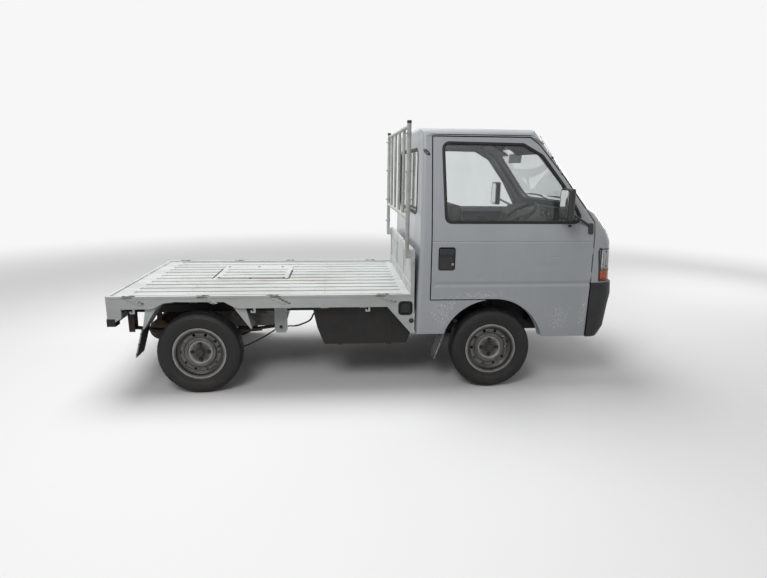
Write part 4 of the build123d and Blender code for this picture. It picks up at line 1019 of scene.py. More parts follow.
def makeDoorTrim(label, side):
    body, place = f"door_{label.lower()}", sidePlace(side)
    for piece, outline, corner, rings in (("Liner", "handle", "handleCorner", "liner"),
                                          ("Paddle", "paddle", "paddleCorner", "paddleRings")):
        part = loopRings(rectangle(*doorTrim[outline]), doorTrim[corner], doorTrim[rings], place)
        addPiece(f"doorHandle{piece}{label}", part, "handlePlastic", body)
    x, z = doorTrim["keyhole"]
    spot = sideSpot(x, z, side)
    addPiece(f"doorLock{label}", sideLathe(doorTrim["barrel"], spot, side, 24), "bareSteel", body)
    # A black block paints the shade in the lock's key slot
    slot = block((x - 0.9, x + 0.9), sorted((spot.y - side * 2.2, spot.y - side * 1.2)), (z - 4, z + 4))
    addPiece(f"doorLockSlotShade{label}", slot, "sealRubber", body, smooth=False)
    # Blind plug on the belt line
    (x, z), (wide, high), rings = doorTrim["plug"], doorTrim["plugSize"], doorTrim["plugRings"]
    turns = [math.tau * k / 20 for k in range(20)]
    points = [sideSpot(x + wide * share * math.cos(a), z + high * share * math.sin(a), side, out)
              for out, share in rings for a in turns]
    addPiece(f"beltPlug{label}", (points, ringFaces(len(rings), 20, False, True)), "sealRubber", body)


rearCorner = 28


def quarterSpot(x, z, side, proud=0.0):
    # On the side of the cab, or on its rounded rear corner
    _, back, _, half, _ = cabRow(z)
    if x >= back + rearCorner:
        return Vector((x, side * (half + proud), z))
    across = math.sqrt(max(rearCorner**2 - (back + rearCorner - x) ** 2, 0))
    out = Vector((x - back - rearCorner, side * across, 0)).normalized() * proud
    return Vector((x, side * (half - rearCorner + across), z)) + out


# Cabin air outlet on the rear post; slats are (height, start, end), and a slat's section is (rise, outwards)
ventLeaf = dict(
    outline=[(319, 1562), (328, 1537), (345, 1522), (370, 1518), (358, 1542), (341, 1557)], corner=6,
    rings=[(0, 0), (0.3, 1.8), (1.0, 2.4), (2.2, 2.2), (3.0, 0.6), (3.4, 0.4)],
    slats=((1524, 346, 361), (1532, 337, 359), (1541, 331, 354), (1549, 328, 345)),
    section=((0, 2.6), (2.4, 1.6), (5, 0.5)),
)


def makeVentLeaf(label, side):
    parts = [loopRings(ventLeaf["outline"], ventLeaf["corner"], ventLeaf["rings"], lambda x, z,
                       out: quarterSpot(x, z, side, out))]
    for z, start, end in ventLeaf["slats"]:
        grid = [[quarterSpot(start + (end - start) * k / 4, z + rise, side, out) for k in range(5)]
                for rise, out in ventLeaf["section"]]
        parts.append(shell(grid if side < 0 else [row[::-1] for row in grid], 1.0))
    addPiece(f"ventLeaf{label}", joinParts(parts), "handlePlastic")


# Door mirrors: the glass looks backwards; rings are (drawn in, backwards)
mirrorFace = dict(
    x=1183.9, y=(709, 841), z=(1144, 1321), corner=20, rim=[(-1, -3), (-1, 1.2), (0, 2.2), (2.2, 2.2), (3.4, 0.9)],
    glass=[(2.6, 0.3), (2.8, 1.0), (3.4, 1.2), (12, 1.5), (30, 1.8), (50, 1.9)],
)


def makeMirrorGlass(label, side):
    outline = [(side * y, z) for y, z in rectangle(mirrorFace["y"], mirrorFace["z"])]
    if side < 0:
        outline.reverse()
    for piece, finish, slotName in (("Rim", "mirrorPlastic", "mirror_plastic"), ("Glass", "mirrorSilver", "glass")):
        part = loopRings(outline, mirrorFace["corner"], mirrorFace[piece.lower()],
                         lambda y, z, out: Vector((mirrorFace["x"] - out, y, z)), cap=piece == "Glass")
        addPiece(f"mirror{piece}{label}", part, finish, f"door_{label.lower()}")


# Telescopic antenna up the driver's pillar: each rod's start and end as shares of its line, its radius and its facets
antenna = dict(
    angle=math.radians(62), foot=(1462, 9), tip=(1640, 34), holders=(-0.26, 0.3),
    rods=((-0.28, 0.35, 2.6, 10), (0.34, 0.7, 1.9, 10), (0.69, 1, 1.3, 8), (0.99, 1.03, 3.2, 12)),
)


def makeAntenna(side):
    foot, tip = (cornerSpot(antenna["angle"], z, side, out) for z, out in (antenna["foot"], antenna["tip"]))
    line = tip - foot
    rods = [tube([foot + line * start, foot + line * end], radius, facets) for start, end, radius,
            facets in antenna["rods"]]
    addPiece("antennaRod", joinParts(rods), "bareSteel")
    holders = []
    for share in antenna["holders"]:
        spot, half = foot + line * share, line.normalized() * 7
        holders.append(tube([spot - alongY * side * 9, spot + alongY * side * 1.5], [6.5, 5], 14))
        holders.append(tube([spot - half, spot + half], 4.6, 14))
    addPiece("antennaHolders", joinParts(holders), "sealRubber")


# Two wipers parked along the foot of the windscreen: Y of the pivot, of the blade's tip, and where arm and blade meet
wipers = dict(
    Right=(-330, 120, -90), Left=(190, 540, 380), pivotZ=1196, bladeZ=1238,
    boss=[(0, 15), (10, 14), (13, 11), (14, 0.01)],
    arm=[6.5, 6, 4.6, 3.4], steps=16,
)


def makeWiper(label):
    (pivot, tip, joint), steps = wipers[label], wipers["steps"]
    root, normal = frontSpot(pivot, wipers["pivotZ"], 6), frontNormal(pivot, wipers["pivotZ"])
    boss = lathe(wipers["boss"], root - normal * 6, normal, normal.orthogonal().normalized(), 24)
    elbow, meet = frontSpot(pivot + 20, 1215, 18), frontSpot(joint, 1243, 15)
    arm = tube([root + normal * 4, elbow, elbow.lerp(meet, 0.5) + normal * 4, meet], wipers["arm"], 10)
    blade, rubber = [], []
    for k in range(steps + 1):
        y = pivot + 30 + (tip - pivot - 30) * k / steps
        spot, normal = frontSpot(y, wipers["bladeZ"]), frontNormal(y, wipers["bladeZ"])
        blade.append(spot + normal * (5.5 + 5 * math.sin(math.pi * k / steps)))
        rubber.append(spot - normal * 0.5)
    yoke = tube(blade, [3 + 2.5 * math.sin(math.pi * k / steps) for k in range(steps + 1)], 8)
    addPiece(f"wiper{label}", joinParts([boss, arm, yoke]), "darkPlastic")
    edge = [[p + (b - p) * share for p, b in zip(rubber, blade)] for share in (0, 0.55)]
    addPiece(f"wiperRubber{label}", shell(edge, 2.2), "sealRubber")


# Lamps in the cab's nose, whose lenses follow its skin:
# where each starts and ends along it, its height, rows and columns
lamps = dict(
    cornerLamp=(1492, 610, (729, 944), 13, 22), headlamp=(598, 392, (748, 924), 11, 15), split=803, lens=3.0,
    depth=14.3,
    border=[(-0.4, -5), (-0.4, 1.0), (0.8, 2.2), (4.4, 2.2), (6.2, 1.4), (6.2, -5)],
    screw=[(-1, 6.2), (1.2, 6.2), (2.2, 5), (2.2, 1.6), (1.4, 1.4), (1.4, 0.01)],
)


def noseLine(z, side, start, end, count, proud=0.0):
    # Along the skin at one height: from x = start on the side, or y = start on the front, to y = end
    _, _, front, half, corner = cabRow(z)
    radius = bowRadius(half)
    centreY = half - corner
    centreX = front - radius + math.sqrt((radius - corner) ** 2 - centreY**2)
    low = math.atan2(centreY, centreX - (front - radius))
    points = []
    if start > 1000:
        points += [sideSpot(start + (centreX - start) * k / 4, z, side, proud) for k in range(4)]
        points += [cornerSpot(math.pi / 2 + (low - math.pi / 2) * k / 14, z, side, proud) for k in range(15)]
    else:
        points += [cornerSpot(angle, z, side,
                              proud) for angle in (low + (math.pi / 2 - low) * k / 14 for k in range(14, 0, -1))
                   if abs(cornerSpot(angle, z, side, proud).y) < start]
        points += [cornerSpot(low, z, side, proud)]
    edge = abs(points[-1].y)
    if edge > end:
        points += [Vector((frontSpot(edge + (end - edge) * k / 8, z, proud).x, side * (edge + (end - edge) * k / 8),
                           z)) for k in range(1, 9)]
    points = [p for p in points if abs(p.y) >= end - 0.01 or p.x < start]
    return spaced(points, count)


def lampGrid(side, start, end, z, rows, count, inset=0.0, proud=0.0):
    grid = []
    for k in range(rows):
        level = z[0] + inset + (z[1] - z[0] - 2 * inset) * k / (rows - 1)
        line = noseLine(level, side, start, end, count, proud)
        if inset:
            length = sum((b - a).length for a, b in zip(line, line[1:]))
            share = inset / length
            line = [line[0].lerp(line[1], share * (count - 1))] + line[1:-1] + [line[-1].lerp(line[-2],
                share * (count - 1))]
        grid.append(line if side < 0 else line[::-1])
    return grid


def gridEdge(grid):
    return list(grid[0]) + [row[-1] for row in grid[1:-1]] + list(grid[-1][::-1]) + [row[0] for row in grid[-2:0:-1]]


def makeBorder(grid, side):
    # Black frame round a lens, on the skin
    path = gridEdge(grid)
    centre = sum(path, Vector()) / len(path)
    out = Vector((centre.x - 1350, centre.y * 0.55, 0)).normalized()
    onCorner = abs(centre.y) > 600
    normals = [Vector((max(p.x - 1440, 10), p.y - side * 520, 0)).normalized() if onCorner else out for p in path]
    if loopTurn(path, [out] * len(path)) < 0:
        path.reverse()
        normals.reverse()
    return sweep(path, normals, lamps["border"])


def makeLampBody(kind, label, side):
    # Its frame, a bright bowl behind the lens, and the bulb
    start, end, z, rows, count = lamps[kind]
    addPiece(f"{kind}Border{label}", makeBorder(lampGrid(side, start, end, z, rows, count), side), "handlePlastic")
    back = [[Vector((p.x - lamps["depth"], p.y * 0.97, p.z)) for p in row] for row in lampGrid(side, start, end, z,
        rows, count, 8)]
    addPiece(f"{kind}Reflector{label}", shell(back, 2), "reflector")
    middle = sum((p for row in back for p in row), Vector()) / (rows * count)
    addPiece(f"{kind}Bulb{label}", tube([middle + alongX * out for out in (-8, 6, 14)], [9, 9, 4], 16), "clearLens")


def makeHeadlamp(label, side):
    makeLampBody("headlamp", label, side)
    lens = shell(lampGrid(side, *lamps["headlamp"], 4, 0.6), lamps["lens"])
    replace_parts(addPiece(f"headlampLens{label}", lens, "clearLens"), "front_lamps")


def makeCornerLamp(label, side):
    makeLampBody("cornerLamp", label, side)
    (start, end, z, rows, count), split = lamps["cornerLamp"], lamps["split"]
    for part, limits, finish in (("Upper", (split + 1, z[1] - 3), "cornerLens"),
                                 ("Lower", (z[0] + 3, split - 2), "amberLens")):
        lens = shell(lampGrid(side, start, end, limits, 8, count, 2.5, 0.6), lamps["lens"])
        addPiece(f"cornerLampLens{part}{label}", lens, finish)
    strip = shell(lampGrid(side, start, end, (split - 3, split + 2), 2, count, 0, 1.4), 6)
    addPiece(f"cornerLampDivider{label}", strip, "handlePlastic")
    # Black tube that paints the shade in the gap behind the lens's rear edge, and the two screws that hold the lens
    edge = [row[1] for row in lampGrid(side, start, end, (z[0] + 6, z[1] - 6), 9, 9, 4.5)]
    addPiece(f"cornerLampGapShade{label}", tube(edge, 5.5, 8), "handlePlastic")
    screws = []
    for height in (split + 22, z[1] - 26):
        spot, ahead = lampGrid(side, start, end, (height, height + 1), 2, 9, 4.2)[0][4:6]
        out = (ahead - spot).cross(alongZ).normalized()
        screws.append(lathe(lamps["screw"], spot, out if out.x > 0 else -out, alongZ, 16))
    addPiece(f"cornerLampScrews{label}", joinParts(screws), "hubBlack")


for label, side in sides.items():
    makeDoorTrim(label, side)
    makeVentLeaf(label, side)
    makeMirrorGlass(label, side)
    makeCornerLamp(label, side)
    makeHeadlamp(label, side)
makeAntenna(sides["Right"])
for label in ("Right", "Left"):
    makeWiper(label)
print("cab trim made")


# Seats: each pad is blown up from a smaller shape inside its solid, then sewn; voxel and cap are in metres
seats = dict(
    side=350, half=226, voxel=0.0075, frames=20, cap=0.012, held=0.012, shrink=7, bevel=26, fill=0.8,
    cloth=dict(quality=5, mass=0.3, use_pressure=True, uniform_pressure_force=4.0, vertex_group_mass="held",
               tension_stiffness=12, compression_stiffness=12, bending_stiffness=0.6),
    cushion=dict(outline=[(644, 654), (1074, 654), (1084, 785), (644, 761)], panel=((690, 1040), (-150, 150)),
                 facing=(0, 0, 1)),
    back=dict(outline=[(526, 654), (638, 654), (600, 1228), (506, 1228)], panel=((700, 1170), (-150, 150)),
              facing=(1, 0, 0.06)),
    pleat=50, pleatDepth=5.0, pleatWidth=5, crown=2.2, seamDepth=6.5, seamWidth=5.5, seamCorner=25, piping=2.6,
)


def startPad(kind, centreY):
    # A block with rounded edges, remeshed evenly
    outline, half, shrink = seats[kind]["outline"], seats["half"] - seats["shrink"], seats["shrink"]
    middleX, middleZ = (sum(p[axis] for p in outline) / 4 for axis in (0, 1))
    shape = bmesh.new()
    rings = []
    for y in (-half, half):
        ring = []
        for x, z in outline:
            inset = Vector((math.copysign(shrink, middleX - x), 0,
                            math.copysign(shrink, middleZ - z) if z > 700 else 0))
            ring.append(shape.verts.new((Vector((x, centreY + y, z)) + inset) * mm))
        rings.append(ring)
    shape.faces.new(rings[0])
    shape.faces.new(rings[1][::-1])
    for k in range(4):
        shape.faces.new([rings[0][k - 1], rings[1][k - 1], rings[1][k], rings[0][k]])
    bmesh.ops.recalc_face_normals(shape, faces=shape.faces)
    bmesh.ops.bevel(shape, geom=shape.edges[:], offset=seats["bevel"] * mm, segments=4, profile=0.55, affect="EDGES")
    mesh = bpy.data.meshes.new(kind)
    shape.to_mesh(mesh)
    shape.free()
    pad = bpy.data.objects.new(kind, mesh)
    collection.objects.link(pad)
    remesh = pad.modifiers.new("remesh", "REMESH")
    remesh.mode, remesh.voxel_size = "VOXEL", seats["voxel"]
    applyModifier(pad, remesh)
    return pad


def applyModifier(pad, modifier):
    made = evaluatedMesh(pad)
    pad.modifiers.remove(modifier)
    pad.data = made


def inflate(pad):
    # Cloth filled by pressure, with each point's way limited
    start = [v.co.copy() for v in pad.data.vertices]
    low = min(p.z for p in start)
    held = pad.vertex_groups.new(name="held")
    held.add([i for i, p in enumerate(start) if p.z < low + seats["held"]], 1.0, "REPLACE")
    cloth = pad.modifiers.new("cloth", "CLOTH")
    for setting, value in seats["cloth"].items():
        setattr(cloth.settings, setting, value)
    cloth.settings.effector_weights.gravity = 0
    scene = bpy.context.scene
    for k in range(1, seats["frames"] + 1):
        scene.frame_set(k)
    applyModifier(pad, cloth)
    for v, before in zip(pad.data.vertices, start):
        way = v.co - before
        if way.length > seats["cap"]:
            v.co = before + way.normalized() * seats["cap"]
    scene.frame_set(1)


def sewPad(pad, kind, centreY):
    # One subdivision, then the seam round the middle panel and its pleats
    smooth = pad.modifiers.new("smooth", "SUBSURF")
    smooth.levels = smooth.render_levels = 1
    applyModifier(pad, smooth)
    (low, high), (left, right) = seats[kind]["panel"]
    facing, corner, pleat = Vector(seats[kind]["facing"]).normalized(), seats["seamCorner"], seats["pleat"]
    normals = [v.normal.copy() for v in pad.data.vertices]
    for v, normal in zip(pad.data.vertices, normals):
        front = max(0.0, min(1.0, (normal.dot(facing) - 0.45) / 0.4))
        if front <= 0:
            continue
        along = (v.co.x if kind == "cushion" else v.co.z) / mm
        across = v.co.y / mm - centreY
        dx = abs(along - (low + high) / 2) - (high - low) / 2 + corner
        dy = abs(across - (left + right) / 2) - (right - left) / 2 + corner
        away = math.hypot(max(dx, 0), max(dy, 0)) + min(max(dx, dy), 0) - corner
        push = -seats["seamDepth"] * math.exp(-((away / seats["seamWidth"]) ** 2))
        inside = max(0.0, min(1.0, -away / 14))
        if inside > 0:
            wave = (across % pleat) / pleat - 0.5
            fold = math.exp(-(((abs(wave) - 0.5) * pleat / seats["pleatWidth"]) ** 2))
            push += inside * (seats["crown"] * math.cos(wave * math.pi) - seats["pleatDepth"] * fold)
        v.co += normal * (push * front * mm)


def keepInside(pad, kind, centreY):
    # The pad stays in the space of its solid
    outline = seats[kind]["outline"]
    (lowX, highX), (lowZ, highZ) = ((min(p[axis] for p in outline) - 1.5, max(p[axis] for p in outline) + 1.5)
                                    for axis in (0, 1))
    limits = ((lowX, highX), (centreY - 228, centreY + 228), (lowZ, highZ))
    for v in pad.data.vertices:
        for axis, (low, high) in enumerate(limits):
            v.co[axis] = min(max(v.co[axis], low * mm), high * mm)


def makePiping(label, pad, kind, centreY):
    # A welt in the seam of the middle panel, laid on the pad's own surface
    tree = BVHTree.FromPolygons([v.co for v in pad.data.vertices], [p.vertices for p in pad.data.polygons])
    (low, high), (left, right) = seats[kind]["panel"]
    path = []
    for p in roundedLoop([(low, left, 0), (high, left, 0), (high, right, 0), (low, right, 0)], seats["seamCorner"], 6,
                         14):
        if kind == "cushion":
            start, way = Vector((p.x, p.y + centreY, 900)), -alongZ
        else:
            start, way = Vector((900, p.y + centreY, p.x)), -alongX
        hit = tree.ray_cast(start * mm, way)[0]
        if hit is not None:
            path.append(hit / mm - way * 0.8)
    addPiece(f"{kind}Piping{label}", tube(path + path[:1], seats["piping"], 8), "seatPiping")


def makePad(kind, node, label, side):
    centreY = side * seats["side"]
    pad = startPad(kind, centreY)
    inflate(pad)
    sewPad(pad, kind, centreY)
    keepInside(pad, kind, centreY)
    makePiping(label, pad, kind, centreY)
    pad.name = pad.data.name = f"seat{kind.capitalize()}{label}"
    pad.data.materials.clear()
    pad.data.materials.append(finishes["seatVinyl"])
    pad.data.shade_smooth()
    pad.vertex_groups.clear()
    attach(pad, "chassis")
    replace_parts(pad, node)


for kind, node in (("cushion", "seat_cushions"), ("back", "seat_backs")):
    for label, side in sides.items():
        makePad(kind, node, label, side)
print("seats made")

# Inner side of a door; the pull's points are (X, Z, outwards), and the crank's parts stand on its hub
doorInside = dict(
    card=((428, 1392), (668, 1082)), out=-47, crease=(880, 10, 3.0),
    pull=((860, 930, 0), (864, 932, -22), (900, 936, -34), (1000, 942, -36), (1080, 946, -32), (1112, 948, -18),
          (1114, 948, 0)),
    pullRadii=[9, 9, 10, 11, 10, 9, 9], hub=(1180, 820), hubProfile=[(0, 20), (8, 19), (12, 12), (20, 11),
        (20, 0.01)],
    knob=(-84, 0, -46), knobProfile=[(28, 0.01), (28, 9), (40, 11), (52, 9), (54, 0.01)],
    catch=((1010, 1090), (998, 1034)), catchCorner=9, catchRings=[(0, 0), (0, -4), (3, -6), (9, -3), (12, -2)],
)


def makeDoorCard(label, side):
    # Trim card on the inner side of the door, with its pull, window crank and catch
    body, out = f"door_{label.lower()}", doorInside["out"]
    (rear, front), (low, high) = doorInside["card"]
    creaseZ, creaseWidth, creaseHigh = doorInside["crease"]
    grid = []
    for i in range(12):
        z = low + (high - low) * i / 11
        crease = creaseHigh * math.exp(-(((z - creaseZ) / creaseWidth) ** 2))
        grid.append([sideSpot(rear + (front - rear) * k / 24, z, side, out - 2.2 + crease * 0.5) for k in range(25)])
    card = shell([row[::-1] for row in grid] if side < 0 else grid, 2.5)
    addPiece(f"doorCard{label}", card, "cardVinyl", body)
    grip = [sideSpot(x, z, side, out + drop) for x, z, drop in doorInside["pull"]]
    addPiece(f"doorPull{label}", tube(grip, doorInside["pullRadii"], 12), "darkPlastic", body)
    hub, knob, way = sideSpot(*doorInside["hub"], side, out), Vector(doorInside["knob"]), -alongY * side
    crank = [lathe(doorInside["hubProfile"], hub, way, alongX, 24),
             tube([hub + way * 16, hub + way * 26 + Vector((-40, 0, -22)), hub + way * 30 + knob], [9, 7, 7], 10),
             lathe(doorInside["knobProfile"], hub + knob, way, alongX, 18)]
    addPiece(f"windowCrank{label}", joinParts(crank), "darkPlastic", body)
    cup = loopRings(rectangle(*doorInside["catch"]), doorInside["catchCorner"], doorInside["catchRings"],
                    lambda x, z, drop: sideSpot(x, z, side, out + drop))
    addPiece(f"doorCatchCup{label}", cup, "darkPlastic", body)


# Gear lever, handbrake and pedals; profiles are (upwards, radius), and pedals have their X and Y
controls = dict(
    lever=(905, -40, 652), boot=[(0, 58), (10, 56), (16, 46), (24, 48), (32, 36), (40, 38), (50, 24), (60, 14),
                                 (66, 9)],
    knob=[(-16, 0.01), (-16, 11), (-6, 17), (8, 19), (18, 15), (24, 0.01)], knobLean=(0.08, 0, 1),
    brake=(800, 60, 652), pedals=((1342, -270), (1335, -360), (1330, -450)),
)


def makeControls():
    x, y, z = controls["lever"]
    addPiece("leverBoot", lathe(controls["boot"], (x, y, z), alongZ, alongX, 28), "sealRubber")
    stick = tube([(x, y, z + 50), (x + 4, y, z + 160), (x + 18, y - 4, z + 250)], [7, 6, 6], 12)
    knob = lathe(controls["knob"], (x + 20, y - 4, z + 266), Vector(controls["knobLean"]).normalized(), alongY, 24)
    addPiece("gearLever", joinParts([stick, knob]), "darkPlastic")
    x, y, z = controls["brake"]
    lever = [tube([(x - 30, y, z + 10), (x + 40, y, z + 38), (x + 150, y, z + 62)], [12, 9, 9], 12),
             tube([(x + 140, y, z + 60), (x + 250, y, z + 86)], [14, 12], 14),
             tube([(x + 248, y, z + 85.5), (x + 262, y, z + 89)], 6, 12),
             block((x - 50, x + 10), (y - 16, y + 16), (z - 0.5, z + 24))]
    addPiece("handbrake", joinParts(lever), "darkPlastic")
    parts = []
    for x, y in controls["pedals"]:
        parts.append(tube([(x + 60, y, 800), (x + 30, y, 640), (x, y, 520)], 7, 10))
        parts.append(block((x - 8, x + 4), (y - 32, y + 32), (486, 542)))
        parts += [block((x - 12, x - 8), (y - 29, y + 29), (491 + k * 10, 496 + k * 10)) for k in range(5)]
    softEdges(addPiece("pedals", joinParts(parts), "sealRubber"), 1.2)


# Sun visors: rows of (X, Z) over their depth, and the way of the rod that carries them
visors = dict(
    rows=((972, 1618), (1026, 1590), (1094, 1544)), y=(110, 490), thick=12, crown=2.5, fill=0.9,
    rod=((1000, 100, 1624), (972, 112, 1616), (970, 480, 1616)), rodRadius=4,
)


def makeVisor(label, side):
    (near, far), grid = visors["y"], []
    for k in range(11):
        y, rise = side * (near + (far - near) * k / 10), visors["crown"] * math.cos((k - 5) / 5 * 1.2)
        grid.append([Vector((x, y, z + rise)) for x, z in visors["rows"]])
    if side < 0:
        grid.reverse()
    visor = addPiece(f"sunVisor{label}", shell(grid, visors["thick"]), "cardVinyl")
    softEdges(visor, 5, 3)
    rod = tube([(x, side * y, z) for x, y, z in visors["rod"]], visors["rodRadius"], 8)
    addPiece(f"visorRod{label}", rod, "bareSteel")


# Instrument face behind its clear cover, with ticks and needles but no lettering
dials = dict(
    centre=(1238, -350, 1150), tilt=0.16, face=((-112, -40, 40, 112), (-32, 0, 30)), y=(-52, 52),
    ring=[(0, 31), (3, 30), (3, 28.5), (0, 27.5)], ticks=17, tickStep=math.radians(15), start=2.1, needle=(-14, -12),
)


def makeDials():
    centre, tilt, start = Vector(dials["centre"]), dials["tilt"], dials["start"]
    upwards, out = Vector((math.sin(tilt), 0, math.cos(tilt))), Vector((-math.cos(tilt), 0, math.sin(tilt)))
    face = [[centre + alongY * y + upwards * z for y in dials["face"][0]] for z in dials["face"][1]]
    addPiece("dialFace", shell(face, -3), "handlePlastic")
    rings, marks = [], []
    for y in dials["y"]:
        spot = centre + alongY * y + out * 1.5
        rings.append(lathe(dials["ring"], spot, out, alongY, 40))
        mark = block((-0.6, 0.6), (-0.4, 0.4), (22, 26))
        points, faces = bakeRepeat(mark, "dialMarks", dials["ticks"], turn=(0, dials["tickStep"], 0))
        turned = [(p.x * math.cos(start) - p.z * math.sin(start), p.x * math.sin(start) + p.z * math.cos(start), p.y)
                  for p in points]
        marks.append(([spot + alongY * u + upwards * v + out * (1 + w) for u, v, w in turned], faces))
        root, (across, rise) = spot + out * 2, dials["needle"]
        marks.append(tube([root, root + alongY * across + upwards * rise], [1.4, 0.6], 6))
    addPiece("dialRings", joinParts(rings), "darkPlastic")
    addPiece("dialMarks", joinParts(marks), "dialMarks")


for label, side in sides.items():
    makeDoorCard(label, side)
makeControls()
for label, side in sides.items():
    makeVisor(label, side)
makeDials()
print("inside made")


# Bed, lamps at the rear, and what hangs underneath
bed = dict(top=640, railY=672, rivetsX=(-1500, -1330, -1170, -540, -300, -50, 180), rivetY=-560, rivets=12,
           rivetStep=112)

# Hatch in the deck: where it lies, its seals over the gaps, which also paint the gaps' shade, as (X, near end, far
# end), and its bolts
hatch = dict(
    x=(-1120, -573), near=-95, seals=((-1122, -55, 308), (-571, -92, 254)),
    sealRings=[(0, 0), (2.4, 0.2), (3.4, 1.6)],
    bolts=((-1085, -45), (-1086, 400), (-661, 388), (-611, -57), (-850, -70), (-850, 398)),
)


def roundHead(radius, high, centre, segments=18):
    # A round-headed bolt pointing up
    profile = [(0, radius * 1.5), (1.6, radius * 1.5), (1.8, radius), (high * 0.6, radius * 0.92),
               (high, radius * 0.5), (high, 0.01)]
    return lathe(profile, centre, alongZ, alongX, segments)


def makeHatchTrim():
    # Dark strips in the gaps at the hatch's ends and along its near edge, rubber and painted shade of the gaps, with
    # the bolts that hold it down
    (rear, front), near, top = hatch["x"], hatch["near"], bed["top"]
    parts = [loopRings(rectangle((x - 7, x + 7), limits), 6, hatch["sealRings"], lambda x, y,
                       out: Vector((x, y, top + 0.2 + out)))
             for x, *limits in hatch["seals"]]
    edge = [(rear + 30, near - 2, top), (front - 40, near - 2, top), (front - 12, near - 1, top + 0.6),
            (front - 2, near + 10, top + 0.8)]
    parts.append(tube(edge, [2.6, 3.4, 3.8, 3.8], 10))
    addPiece("hatchSealAndGapShade", joinParts(parts), "sealRubber")
    bolts = [roundHead(6.5, 5, (x, y, top - 0.2)) for x, y in hatch["bolts"]]
    addPiece("hatchBolts", joinParts(bolts), "rustySteel")
    rivet = roundHead(4.6, 3.4, (0, 0, 0), 10)
    rows = [bakeRepeat(rivet, "bedPaint", bed["rivets"], offset=(0, bed["rivetStep"], 0),
                       centre=(x, bed["rivetY"], top - 0.3))
            for x in bed["rivetsX"]]
    addPiece("deckRivets", joinParts(rows), "bedPaint")


# Bent hinge lugs that the drop gates have left on the rails: X and bend of each, and the torn ridge above it
lugs = dict(
    places=((-1512, 0), (-1060, 5), (-636, -3), (66, 3)), ridge=[1.2, 3.2, 2.2, 4.2, 3.0, 4.4, 1.4], ridgeStart=-34,
    ridgeStep=14,
)


def makeRailLugs(label, side):
    railY, parts, rust = bed["railY"], [], []
    for k, (x, bend) in enumerate(lugs["places"]):
        outline = [(x - 12, 641), (x + 26, 643), (x + 62 + bend, 622), (x + 96, 596 + bend), (x + 66, 594),
                   (x + 30, 612), (x - 4, 628)]
        parts.append(plate(outline, lambda px, pz: Vector((px, side * (railY + 5.5 + 0.08 * (pz - 594)), pz)),
                           lambda px, pz: Vector((px, side * (railY - 1), pz))))
        ridge = [Vector((x + lugs["ridgeStart"] + lugs["ridgeStep"] * j,
                         side * (railY - 3 + 2.5 * math.sin(j * 2.1 + k)),
                         648.4 + 1.8 * math.sin(j * 1.7 + k * 2))) for j in range(len(lugs["ridge"]))]
        rust.append(tube(ridge, lugs["ridge"], 7))
    softEdges(addPiece(f"railLugs{label}", joinParts(parts), "bedPaint", smooth=False), 1.6)
    addPiece(f"railScars{label}", joinParts(rust), "rustySteel")


# Black cup with a rim that lines the filler recess and paints the shade inside it, with the fuel cap, and the lock
# below it
filler = dict(
    cap=(222, 556), cupHalf=47, cupCorner=22, cupRings=[(0, 0.1), (0.4, 1.8), (2.6, 2.2), (4.4, 1.4), (6, -13),
                                                        (10, -16.6)],
    capProfile=[(-16, 33.5), (-3, 33.5), (-0.4, 32.2), (0.6, 30), (0.2, 26.5), (-0.8, 24), (-0.8, 14), (0.4, 13),
                (1.2, 11),
                (1.2, 0.01)], grip=(26, 5, -1.5, 3),
    lock=(262, 472), lockProfile=[(-1, 17), (1.8, 17), (3, 15), (3.6, 11), (4.2, 9.4), (7.4, 9.0), (8.2, 7.4),
                                  (7.8, 3), (7.8, 0.01)],
)


def makeFiller(side):
    (x, z), half, railY = filler["cap"], filler["cupHalf"], bed["railY"]
    # The cup's black lining is painted shade in the recess
    cup = loopRings(rectangle((x - half, x + half), (z - half, z + half)), filler["cupCorner"], filler["cupRings"],
                    lambda px, pz, out: Vector((px, side * (railY + out), pz)))
    addPiece("fillerRecessShade", cup, "handlePlastic")
    addPiece("fillerCap", lathe(filler["capProfile"], (x, side * railY, z), alongY * side, alongX, 36), "darkPlastic")
    long, high, low, out = filler["grip"]
    grip = block((x - long, x + long), sorted((side * (railY + low), side * (railY + out))), (z - high, z + high))
    softEdges(addPiece("fillerCapGrip", grip, "darkPlastic"), 2)
    x, z = filler["lock"]
    lock = lathe(filler["lockProfile"], (x, side * railY, z), alongY * side, alongX, 28)
    addPiece("skirtLock", lock, "handlePlastic")


# Painted plates over the springs' front hangers, with the X and Z of their bolts
hangers = dict(
    outline=[(-639, 566), (-639, 372), (-625, 346), (-567, 346), (-553, 372), (-553, 566)], y=484, thick=3,
    nut=(19, 12, 6), bolts=((-596, 388), (-622, 540), (-570, 540)),
)


def makeHanger(label, side):
    inner, outer = hangers["y"], hangers["y"] + hangers["thick"]
    sheet = plate(hangers["outline"], lambda x, z: Vector((x, side * outer, z)), lambda x,
                  z: Vector((x, side * inner, z)))
    softEdges(addPiece(f"hangerPlate{label}", sheet, "bedPaint", smooth=False), 1.4)
    points, faces = hexNut(*hangers["nut"])
    nuts = [([Vector((p.x + x, side * (p.y + outer), p.z + z)) for p in points], faces) for x, z in hangers["bolts"]]
    addPiece(f"hangerBolts{label}", joinParts(nuts), "rustySteel")


# Front coil springs round the struts: the strut's (Y, Z) at its foot and head, and the share of it that the coil takes
coils = dict(x=800, foot=(488, 330), head=(470, 610), start=0.44, share=0.46, turns=5.5, steps=120, radius=46,
             wire=5.5)


def makeCoil(label, side):
    foot, head = (Vector((coils["x"], side * y, z)) for y, z in (coils["foot"], coils["head"]))
    third, path, steps = (head - foot).normalized().cross(alongX), [], coils["steps"]
    for k in range(steps + 1):
        turn, share = math.tau * coils["turns"] * k / steps, coils["start"] + coils["share"] * k / steps
        path.append(foot + (head - foot) * share + (alongX * math.cos(turn) + third * math.sin(turn)) * coils["radius"])
    addPiece(f"coilSpring{label}", tube(path, coils["wire"], 10), "springSteel",
             f"knuckle_{label.lower()}")


